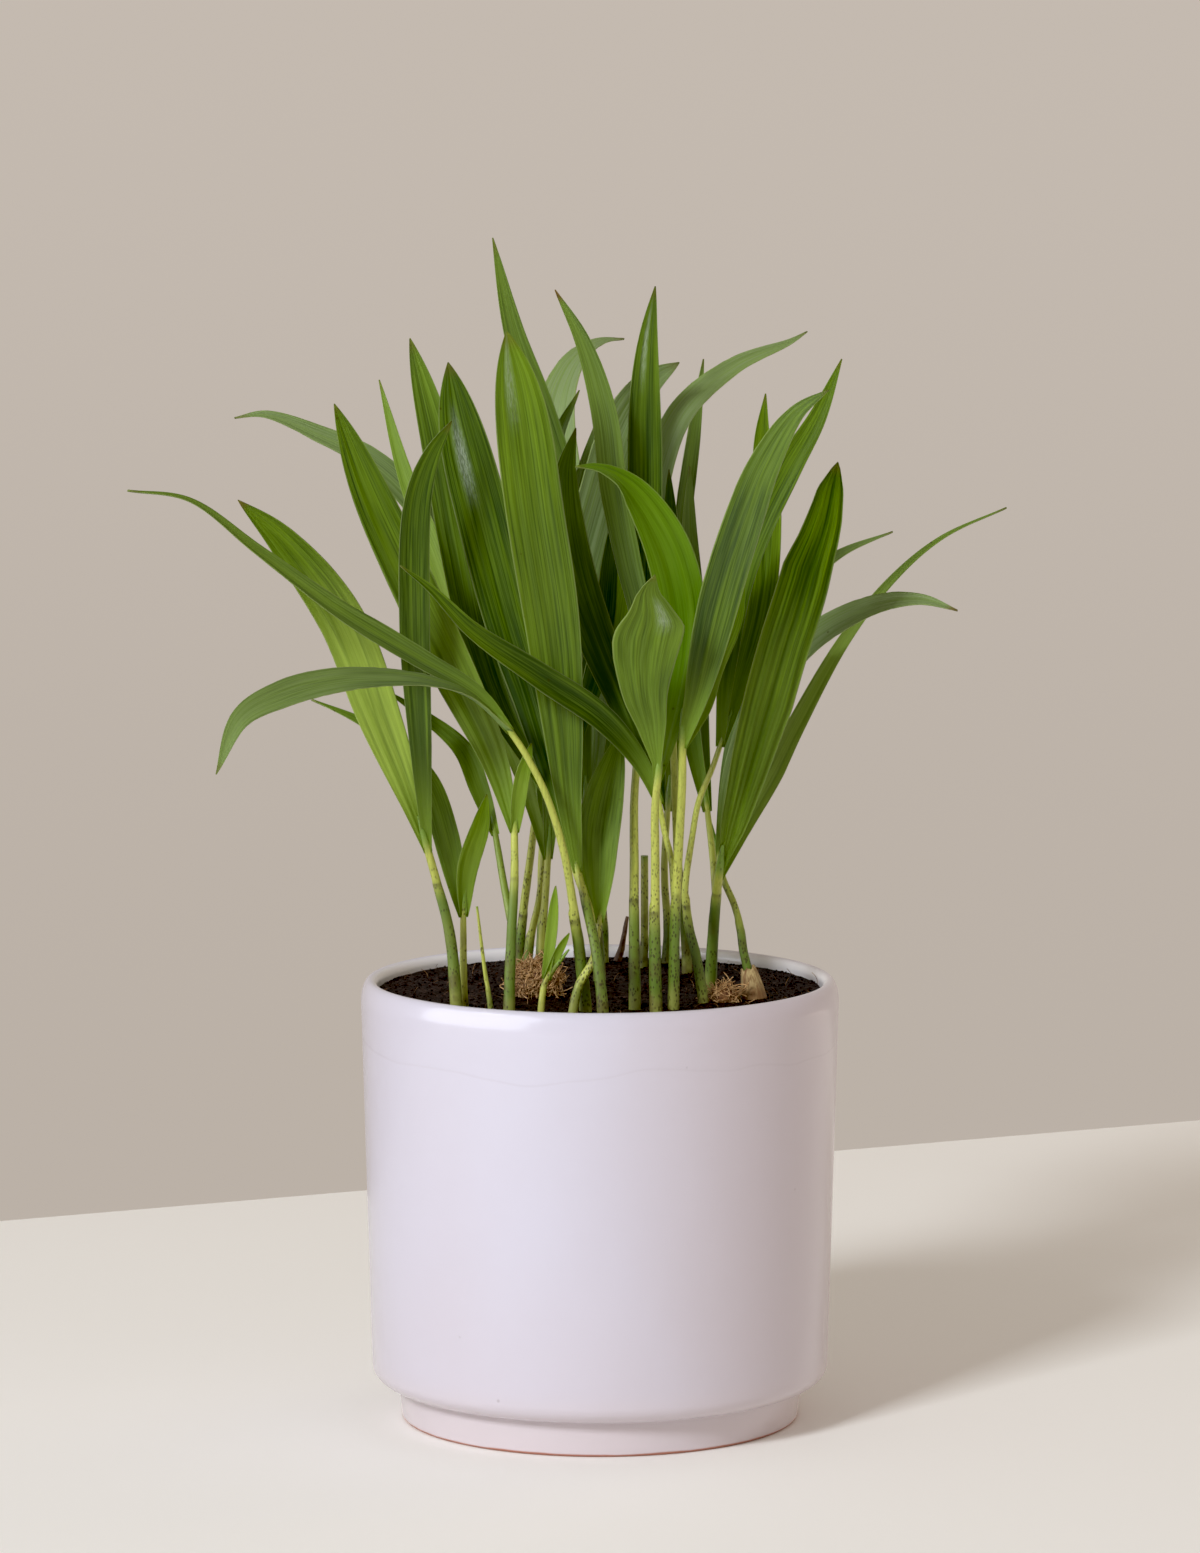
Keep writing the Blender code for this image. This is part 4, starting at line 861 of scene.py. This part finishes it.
def stalk_finish():
    """Yellow-green stalk over a darker, rougher sheath with brown specks."""
    net, place = new_finish("areca stalk")
    height, share = place.part("Z"), net.mark("along")
    streaks = place.stretched(1400.0, 1400.0, 70.0).noise(1.0, 3.0, 0.6)
    cloud = place.noise(130.0)
    past_lip = net.mark("sheath_end") - share
    sheathed = past_lip.rise(-0.05, 0.1)
    colour = net.mixed(streaks.rise(0.25, 0.75, 0.0, 0.4), STALK_YELLOW, SHEATH_OLIVE)
    green = net.mixed(streaks.rise(0.3, 0.7, 0.0, 0.5), SHEATH_GREEN, SHEATH_OLIVE)
    green = net.mixed(place.noise(55.0, 1.0).rise(0.4, 0.65, 0.0, 0.6), green, SHEATH_OLIVE)
    colour = net.mixed(sheathed * 0.92, colour, green)
    colour = net.mixed(net.mark("green") * 0.85, colour, SHEATH_GREEN)
    colour = net.mixed(share.rise(0.93, 1.03), colour, NECK_GREEN)
    foot = (height + (cloud - 0.5) * 0.012).rise(0.136, 0.127)
    colour = net.mixed(foot * 0.4, colour, STALK_FOOT)
    stain = height.rise(0.16, 0.13) * place.noise(170.0, 3.0, 0.6).rise(0.48, 0.64)
    colour = net.mixed(stain * 0.6, colour, SHEATH_STAIN)
    lip = past_lip.rise(-0.012, 0.0) * past_lip.rise(0.03, 0.0)
    colour = net.mixed(lip * cloud.rise(0.4, 0.6, 0.0, 0.6), colour, STALK_SPECK)
    many = place.noise(260.0, 1.0) + net.mark("specks") * 0.3
    speck = place.stretched(1.0, 1.0, 0.6).cells(1300.0).rise(0.4, 0.28) * many.rise(0.57, 0.68)
    speck = speck * height.rise(0.2, 0.14, 0.15, 1.0)
    colour = net.mixed(speck * 0.75, colour, STALK_SPECK)
    return finished(net, colour, streaks * 0.2 + sheathed * 0.12 + 0.3, streaks + speck * 0.8, 0.45, 0.00012)


def soil_finish():
    net, place = new_finish("potting soil")
    grains = place.noise(900.0, 3.0, 0.7)
    share = grains.rise(0.48, 0.74) * place.noise(210.0).rise(0.35, 0.65, 0.3, 1.0)
    colour = net.mixed(share, SOIL_DARK, SOIL_WARM)
    roughness = grains.rise(0.2, 0.8, 0.95, 0.6)
    return finished(net, colour, roughness, grains, 0.9, 0.0004, Specular_IOR_Level=0.2)


def fibre_finish(name, light, dark):
    net, place = new_finish(name)
    patches = place.noise(700.0, 2.0, 0.6)
    return finished(net, net.mixed(patches.rise(0.3, 0.7), dark, light), 0.75, patches, 0.5, 0.0002)


def husk_finish():
    """A dry papery sheath, streaked along its height and darker at its foot."""
    net, place = new_finish("papery husk")
    streaks = place.stretched(1300.0, 1300.0, 160.0).noise(1.0, 3.0, 0.6)
    colour = net.mixed(streaks.rise(0.3, 0.7), HUSK_TAN, HUSK_BROWN)
    colour = net.mixed(place.part("Z").rise(0.1335, 0.1275, 0.0, 0.8), colour, HUSK_BROWN)
    return finished(net, colour, 0.7, streaks, 0.7, 0.0002)


def glaze_finish():
    """White glaze, glossy and a little uneven, over a bare clay line at the very foot."""
    net, place = new_finish("white glaze")
    height = place.part("Z")
    swirl = place.stretched(16.0, 16.0, 9.0).noise(1.0)
    wavy = place.stretched(70.0, 70.0, 45.0).noise(1.0)
    colour = net.mixed(swirl.rise(0.3, 0.7), GLAZE_WHITE, GLAZE_SHADE)
    # Painted shade: warmer, darker glaze on the side away from the window; a little warmer low down
    painted_shade_away = place.part("X").rise(-0.005, 0.05, 0.0, 0.9)
    warm = painted_shade_away.reckoned("MAXIMUM", height.rise(0.075, 0.015, 0.0, 0.4))
    colour = net.mixed(warm, colour, GLAZE_PAINTED_SHADE)
    colour = net.mixed(height.rise(0.022, 0.006, 0.0, 0.7), colour, GLAZE_FOOT)
    # Painted light: inside the lip the glaze is painted whiter, brightening the shade the plant casts there
    radius = place.stretched(1.0, 1.0, 0.0).arrow("LENGTH", out=1)
    inside = radius.rise(0.0672, 0.0655) * height.rise(0.118, 0.122)
    colour = net.mixed(inside, colour, GLAZE_PAINTED_LIGHT_INSIDE)
    # A run of glaze ends in a faint wavy line a little under the lip
    above_line = height - ((swirl - 0.5) * 0.02 + GLAZE_RUN_END)
    colour = net.mixed(abs(above_line).rise(0.0006, 0.0, 0.0, 0.1), colour, GLAZE_LINE)
    pit = place.cells(70.0).rise(0.045, 0.02) * wavy.rise(0.52, 0.6)
    colour = net.mixed(pit * 0.35, colour, GLAZE_PIT)
    clay = (height + (wavy - 0.5) * 0.0008).rise(0.0011, 0.0005)
    colour = net.mixed(clay, colour, BARE_CLAY)
    bumps = wavy * 0.8 + place.noise(1500.0, 1.0) * 0.02
    bumps = bumps + (above_line.rise(-0.0004, 0.0004) * 0.12 + pit * -0.5)
    return finished(net, colour, swirl * 0.1 + 0.17 + clay * 0.5, bumps, 0.35, 0.0006,
                    Coat_Weight=0.35, Coat_Roughness=0.06)


# Pieces

def keep(thing, node):
    """The piece rides on the one body, in place of its solid."""
    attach(thing, "root")
    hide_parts(node)


def new_thing(name, data):
    thing = bpy.data.objects.new(name, data)
    bpy.context.scene.collection.objects.link(thing)
    return thing


def new_mesh(name, points, edges, faces):
    """A mesh of points in millimetres, with its faces outwards and smooth."""
    mesh = bpy.data.meshes.new(name)
    mesh.from_pydata([[value * MM for value in point] for point in points], edges, faces)
    if faces:
        point_out(mesh)
        mesh.shade_smooth()
    return mesh


def point_out(mesh):
    """Every closed shell's faces point outwards."""
    work = bmesh.new()
    work.from_mesh(mesh)
    bmesh.ops.recalc_face_normals(work, faces=work.faces)
    work.to_mesh(mesh)
    work.free()


def grow(thing, tree, sizes, **materials):
    """Puts the plain mesh that a tree makes from the object's mesh in its place."""
    modifier = thing.modifiers.new(tree.name, "NODES")
    modifier.node_group = tree
    sockets = {item.name: item.identifier for item in tree.interface.items_tree
               if item.item_type == "SOCKET" and item.in_out == "INPUT"}
    for name, value in {**sizes, **materials}.items():
        modifier[sockets[name.replace("_", " ")]] = value
    graph = bpy.context.evaluated_depsgraph_get()
    whole = bpy.data.meshes.new_from_object(thing.evaluated_get(graph), preserve_all_data_layers=True,
                                            depsgraph=graph)
    thing.modifiers.clear()
    thing.data = whole
    whole.name = thing.name
    return thing


class Chains:
    """Chains of points with named values at each point, for a tree to grow pieces along."""

    def __init__(self):
        self.points, self.edges, self.values = [], [], {}

    def add(self, points, **values):
        first = len(self.points)
        self.points += [tuple(point) for point in points]
        self.edges += [(k, k + 1) for k in range(first, len(self.points) - 1)]
        for name, value in values.items():
            rows = np.asarray(value, float)
            if len(rows.shape) == 0 or rows.shape == (3,):
                rows = np.repeat(rows[None], len(points), axis=0)
            self.values.setdefault(name, []).append(rows)

    def thing(self, name):
        mesh = new_mesh(name, self.points, self.edges, [])
        for value_name, parts in self.values.items():
            rows = np.concatenate(parts).astype(np.float32)
            kind, key = ("FLOAT_VECTOR", "vector") if rows.ndim == 2 else ("FLOAT", "value")
            mesh.attributes.new(value_name, kind, "POINT").data.foreach_set(key, rows.ravel())
        return new_thing(name, mesh)


def quarter(start, end, steps, level_first):
    """Points of a quarter of an ellipse between two points, leaving the first one level or upright."""
    found = []
    for k in range(steps + 1):
        turn = math.pi / 2 * k / steps
        gone, come = math.sin(turn), 1 - math.cos(turn)
        share_out, share_up = (gone, come) if level_first else (come, gone)
        found.append((start[0] + (end[0] - start[0]) * share_out, start[1] + (end[1] - start[1]) * share_up))
    return found


def straight(start, end, step):
    count = max(1, round(math.dist(start, end) / step))
    return [tuple(a + (b - a) * k / count for a, b in zip(start, end)) for k in range(1, count)]


def stitched(rings):
    """Faces between each ring of points and the next, with the points of a face given once each."""
    faces = []
    for low, high in zip(rings, rings[1:]):
        for corners in zip(low, low[1:], high[1:], high):
            faces.append(tuple(dict.fromkeys(corners)))
    return faces


def turned(name, outline, sides, lift=None):
    """A solid turned round the Z axis from an outline of (radius, height), bottom middle to top middle."""
    points, rings = [], []
    for radius, height in outline:
        count = sides if radius else 1
        rings.append([len(points) + k % count for k in range(sides + 1)])
        for k in range(count):
            turn = 2 * math.pi * k / sides
            points.append((radius * math.cos(turn), radius * math.sin(turn), height))
    if lift:
        points = [(x, y, z + lift(x, y, z)) for x, y, z in points]
    mesh = new_mesh(name, points, [], stitched(rings))
    mesh.set_sharp_from_angle(angle=math.radians(SHARP_CORNER))
    return new_thing(name, mesh)


def pot_outline():
    outside = [(0, 0)] + straight((0, 0), (FOOT_LOW_RADIUS - FOOT_EDGE, 0), POT_BAND)
    outside += quarter((FOOT_LOW_RADIUS - FOOT_EDGE, 0), (FOOT_LOW_RADIUS, FOOT_EDGE), 5, True)
    outside += straight((FOOT_LOW_RADIUS, FOOT_EDGE), (FOOT_RADIUS, FOOT_HEIGHT), POT_BAND / 2)
    outside += quarter((FOOT_RADIUS, FOOT_HEIGHT), (POT_LOW_RADIUS, SHOULDER_TOP), 12, True)
    lip_start = (POT_RADIUS, POT_HEIGHT - LIP_OUTER_DROP)
    outside += straight((POT_LOW_RADIUS, SHOULDER_TOP), lip_start, POT_BAND)
    outside += quarter(lip_start, (LIP_CROWN_RADIUS, POT_HEIGHT), 12, False)
    rim_inner_edge = (LIP_INNER_RADIUS, POT_HEIGHT - LIP_INNER_DROP)
    inside = quarter((LIP_CROWN_RADIUS, POT_HEIGHT), rim_inner_edge, 8, True)[1:]
    inner_low = (INNER_LOW_RADIUS, FLOOR_THICKNESS + INNER_CORNER)
    inside += straight(rim_inner_edge, inner_low, POT_BAND * 2)
    inside += quarter(inner_low, (INNER_LOW_RADIUS - INNER_CORNER, FLOOR_THICKNESS), 6, False)
    return outside + inside + [(0, FLOOR_THICKNESS)]


def make_pot():
    pot = turned("glazed_pot", pot_outline(), POT_SIDES)
    pot.data.materials.append(glaze_finish())
    keep(pot, "pot")


def wall_radius(height):
    low, high = FLOOR_THICKNESS + INNER_CORNER, POT_HEIGHT - LIP_INNER_DROP
    return INNER_LOW_RADIUS + (LIP_INNER_RADIUS - INNER_LOW_RADIUS) * (height - low) / (high - low)


def soil_lift(x, y, z):
    """Humps, small lumps, and a little mound at the foot of each stem."""
    if z < SOIL_TOP - SOIL_EDGE_DROP / 2:
        return 0
    inside = min(1, max(0, (wall_radius(SOIL_TOP) - math.hypot(x, y)) / SOIL_EDGE_RUN))
    lift = (soil_height(x, y) - SOIL_TOP) * inside
    for scale, size in ((0.22, 1.0), (0.55, 0.5)):
        lift += SOIL_LUMPS * size * noise.noise(Vector((x * scale, y * scale, 3.0)))
    for one in SEEDLINGS:
        gap = math.dist(one.foot, (x, y))
        lift += MOUND_HEIGHT * math.exp(-((gap / MOUND_REACH) ** 2))
    return lift


def make_soil(soil_look, hair_look):
    low, base = FLOOR_THICKNESS + INNER_CORNER, FLOOR_THICKNESS + SOIL_FLOOR_GAP
    edge = wall_radius(SOIL_TOP) - SOIL_WALL_GAP
    outline = [(0, base)]
    outline += quarter((INNER_LOW_RADIUS - INNER_CORNER, base), (INNER_LOW_RADIUS - SOIL_FLOOR_GAP, low), 4,
                       True)
    outline += [(edge, SOIL_TOP - SOIL_EDGE_DROP)]
    outline += [(edge * (1 - k / SOIL_RINGS), SOIL_TOP) for k in range(SOIL_RINGS)]
    outline += [(0, SOIL_TOP)]
    soil = turned("potting_soil", outline, SOIL_SIDES, soil_lift)
    grow(soil, soil_tree(), SOIL_SIZES, Material=soil_look, Hair_Material=hair_look)
    keep(soil, "soil")


def add_stalk(chains, path, thick, rooted, seed, green, sheath=0.45, specks=0.4, open_top=True):
    rows = max(8, round(length_of(path) / STALK_ROW))
    shares = np.linspace(0, 1, rows + 1)
    points = along(path, shares)
    radii = [stalk_radius(share, thick) * STALK_SLIM for share in shares]
    if open_top:
        # Past its neck the stalk thins out between the lobes
        ahead = directions(points)[-1]
        for step, share, thinned in STALK_END:
            points = np.vstack([points, points[-1] + ahead * step])
            radii.append(thick[1] * thinned)
            shares = np.append(shares, share)
    turn = seed * 2.4
    chains.add(points, radius_here=np.array(radii) * MM, along=shares, sheath_end=sheath if rooted else -1.0,
               lip_side=(math.cos(turn), math.sin(turn), 0.0), green=green, specks=specks)


def add_blade(chains, path, shape, seed):
    length = length_of(path)
    rows = max(20, round(length / BLADE_ROW))
    shares = np.linspace(0, 1, rows + 1)
    points = along(path, shares)
    ahead = directions(points)
    faces = []
    for share, forward in zip(shares, ahead):
        turn, tip_up = (a + (b - a) * share for a, b in zip(shape.face, shape.end))
        towards = facing(turn, tip_up)
        faces.append(unit(towards - forward * towards.dot(forward)))
    left, right = np.array([reach_of(share, shape) for share in shares]).T
    gap = shares * length
    # Near its neck the blade clasps the stalk, and its pleats are deepest a little past that
    clasp = CLASP * np.exp(-gap / CLASP_REACH)
    pleat = PLEAT_DEPTH * shape.pleat * (1 + 2.0 * np.exp(-gap / DEEP_PLEAT_REACH)) * (1 - clasp)
    chains.add(points, forward=ahead, towards=np.array(faces), half_width=(left + right) / 2 * MM,
               shift=(right - left) / 2 * MM, fold=shape.fold * FOLD_DEPTH + clasp, pleat=pleat,
               pleats=max(1.2, shape.width / PLEAT_WIDTH), phase=seed * 2.1, along=shares,
               neck_gap=gap * MM, ribs=max(1, round(shape.width / RIB_GAP)),
               veins=3.0 + shape.width * VEINS_EACH_MM, lobe_seed=seed, **shape.looks)


def joined_things(name, things):
    """One object from several, with all their materials and values kept."""
    with bpy.context.temp_override(active_object=things[0], selected_editable_objects=things,
                                   object=things[0], selected_objects=things):
        bpy.ops.object.join()
    things[0].name = things[0].data.name = name
    return things[0]


def make_seedlings(leaf_look, stalk_look, stalk_maker):
    blade_maker = blade_tree()
    lobe_count = 0
    for number, one in enumerate(SEEDLINGS, 1):
        stalks, blades = Chains(), Chains()
        for leaf_number, blade_pair in enumerate(one.leaves):
            rooted = leaf_number == 0
            path = stalk_path(one.foot if rooted else None, blade_pair.stalk)
            add_stalk(stalks, path, blade_pair.thick, rooted, number + 0.5 * leaf_number, blade_pair.green,
                      one.sheath, one.specks)
            neck = along(path, [1 - BLADE_SUNK / length_of(path)])[0]
            for shape in blade_pair.lobes:
                lobe_count += 1
                add_blade(blades, [neck] + [seen(*point) for point in shape.path], shape, lobe_count)
        stalk = grow(stalks.thing("stalk"), stalk_maker, STALK_SIZES, Material=stalk_look)
        blade = grow(blades.thing("blade"), blade_maker, BLADE_SIZES, Material=leaf_look)
        whole = joined_things("areca_seedling_%02d" % number, [stalk, blade])
        point_out(whole.data)
        keep(whole, "leafy_stem_%02d" % number)


def make_bare_shoots(stalk_look, stub_look, stalk_maker):
    for seed, (node, name, foot, stalk, thick) in enumerate(BARE_SHOOTS, SHOOT_SEED):
        chains = Chains()
        add_stalk(chains, stalk_path(foot, stalk), thick, True, seed, SHOOT_GREEN, open_top=False)
        sizes, look, slot = SHOOT_SIZES, stalk_look, "leaf"
        if node == "dry_stub":
            sizes, look, slot = {**SHOOT_SIZES, "Wobble": WITHERED_WOBBLE}, stub_look, "husk"
        shoot = grow(chains.thing(name), stalk_maker, sizes, Material=look)
        point_out(shoot.data)
        keep(shoot, node)


def make_seeds(seed_look, fibre_look):
    maker = fibre_tree()
    for node, name, middle, size, fibres in SEEDS:
        mesh = bpy.data.meshes.new(name)
        work = bmesh.new()
        bmesh.ops.create_icosphere(work, subdivisions=4, radius=1)
        for vertex in work.verts:
            x, y, z = vertex.co
            ridge = 1 + SEED_RIDGE * math.sin(SEED_RIDGES * math.atan2(z, x) + 5 * y)
            ridge += SEED_DENTS * noise.noise(vertex.co * 5)
            vertex.co = Vector([(middle[k] + vertex.co[k] * size[k] * ridge) * MM for k in range(3)])
        work.to_mesh(mesh)
        work.free()
        mesh.shade_smooth()
        seed = grow(new_thing(name, mesh), maker, {**SEED_SIZES, "Fibres": fibres},
                    Material=seed_look, Fibre_Material=fibre_look)
        keep(seed, node)


def make_husk(look):
    """A dry torn collar, open at one side, round the foot of a seedling."""
    owner = SEEDLINGS[HUSK_OWNER - 1]
    path = stalk_path(owner.foot, owner.leaves[0].stalk)
    top = HUSK_ROWS - 1
    length = length_of(path)
    shares = [(HOLE_DEPTH + HUSK_RAISED + HUSK_HEIGHT * row / top) / length for row in range(HUSK_ROWS)]
    spine = along(path, shares)
    points = []

    def rough(turn, size, height):
        return noise.noise(Vector((size * math.cos(turn), size * math.sin(turn), height)))

    for row, (place, forward) in enumerate(zip(spine, directions(spine))):
        side = unit(np.cross(forward, (0, 1, 0)))
        other = np.cross(forward, side)
        up = row / top
        inner = stalk_radius(shares[row], owner.leaves[0].thick) * 1.1 + HUSK_INNER_GAP
        for wall in (0, HUSK_WALL * (1 - 0.5 * up)):
            for k in range(HUSK_SIDES):
                turn = math.radians(HUSK_FROM + (HUSK_TO - HUSK_FROM) * k / (HUSK_SIDES - 1))
                torn = up**3 * (1.3 * rough(turn, 4, 7.0) + 0.5 * rough(turn, 13, 2.0))
                outward = math.cos(turn) * side + math.sin(turn) * other
                reach = inner + wall + HUSK_SWELL * (1 - up) ** 0.7 + 0.35 * rough(turn, 2.2, 1.4 * up)
                points.append(place + forward * torn + outward * reach)
    # Each ring goes along the inside and back along the outside
    faces, rings = [], []
    for low in range(0, len(points), 2 * HUSK_SIDES):
        inside = list(range(low, low + HUSK_SIDES))
        outside = list(range(low + HUSK_SIDES, low + 2 * HUSK_SIDES))
        rings.append([*inside, *reversed(outside), low])
        if low in (0, 2 * HUSK_SIDES * top):
            faces += stitched([inside, outside])
    mesh = new_mesh("torn_papery_husk", points, [], faces + stitched(rings))
    mesh.materials.append(look)
    keep(new_thing("torn_papery_husk", mesh), "torn_husk")


# The room

def make_camera():
    camera = bpy.data.cameras.new("front")
    camera.sensor_width = SENSOR
    camera.lens = FOCAL_PIXELS / PHOTO_HEIGHT * SENSOR
    camera.clip_end = SEEN_TO
    thing = new_thing("front", camera)
    thing.location = (0, -EYE_DISTANCE * MM, EYE_HEIGHT * MM)
    thing.rotation_euler = (math.radians(90 - EYE_PITCH), 0, 0)
    bpy.context.scene.camera = thing


def make_floor():
    """A pale table whose back edge crosses the view at a slant."""
    turn = math.radians(TABLE_SLANT)
    ahead, side = (math.cos(turn), math.sin(turn)), (math.sin(turn), -math.cos(turn))
    middle = [TABLE_CORNER[k] + TABLE_MIDDLE * ahead[k] for k in range(2)]
    corners = []
    for reach, deep in ((-1, 0), (1, 0), (1, 1), (-1, 1)):
        flat = [middle[k] + ahead[k] * TABLE_REACH * reach + side[k] * TABLE_DEPTH * deep for k in range(2)]
        corners.append([*flat, 0])
    mesh = bpy.data.meshes.new("pale_floor")
    mesh.from_pydata(corners, [], [(3, 2, 1, 0)])
    net, place = new_finish("pale floor")
    cloud = place.noise(3.0).rise(0.3, 0.7, 0.0, 0.1)
    mesh.materials.append(finished(net, net.mixed(cloud, FLOOR_PALE, FLOOR_CLOUD), 0.75))
    new_thing("pale_floor", mesh)


def make_lights():
    for name, place, size, power, colour, mirrored in LAMPS:
        lamp = bpy.data.lights.new(name, "AREA")
        lamp.shape = "RECTANGLE"
        lamp.size, lamp.size_y = size
        lamp.energy = power
        lamp.color = colour
        thing = new_thing(name, lamp)
        thing.location = place
        thing.visible_camera = False
        thing.visible_diffuse = thing.visible_transmission = not mirrored
        thing.visible_glossy = mirrored
        thing.rotation_euler = (Vector(LAMPS_POINT_AT) - Vector(place)).to_track_quat("-Z", "Y").to_euler()


def make_wall():
    """A plain warm grey all round, a little paler from the floor up and darker overhead."""
    world = bpy.data.worlds.new("room")
    world.use_nodes = True
    world.node_tree.nodes.clear()
    net = Net(world.node_tree)
    up = net.add("ShaderNodeTexCoord", out="Generated").part("Z")
    colour = net.mixed(up.rise(-0.17, 0.02), WALL_LOW, WALL_HIGH)
    colour = net.mixed(up.rise(0.15, 0.75), colour, CEILING)
    back = net.add("ShaderNodeBackground", {"Color": colour, "Strength": 1.0})
    net.add("ShaderNodeOutputWorld", {"Surface": back}, out=())
    bpy.context.scene.world = world


def make_display():
    """Plain colours, with the blacks a little deeper."""
    display = bpy.context.scene.view_settings
    display.view_transform = "Standard"
    display.use_curve_mapping = True
    display.curve_mapping.black_level = (BLACK_LEVEL, BLACK_LEVEL, BLACK_LEVEL)
    display.curve_mapping.update()


def main():
    make_camera()
    make_floor()
    make_lights()
    make_wall()
    make_display()
    stalk_look = stalk_finish()
    stalk_maker = stalk_tree()
    make_pot()
    make_soil(soil_finish(), fibre_finish("root hair", FIBRE_BROWN, SOIL_WARM))
    make_seedlings(leaf_finish(), stalk_look, stalk_maker)
    make_bare_shoots(stalk_look, fibre_finish("withered stub", STUB_BROWN, SOIL_WARM), stalk_maker)
    make_seeds(fibre_finish("seed coat", SEED_BROWN, SOIL_WARM),
               fibre_finish("seed fibre", FIBRE_TAN, FIBRE_BROWN))
    make_husk(husk_finish())


main()
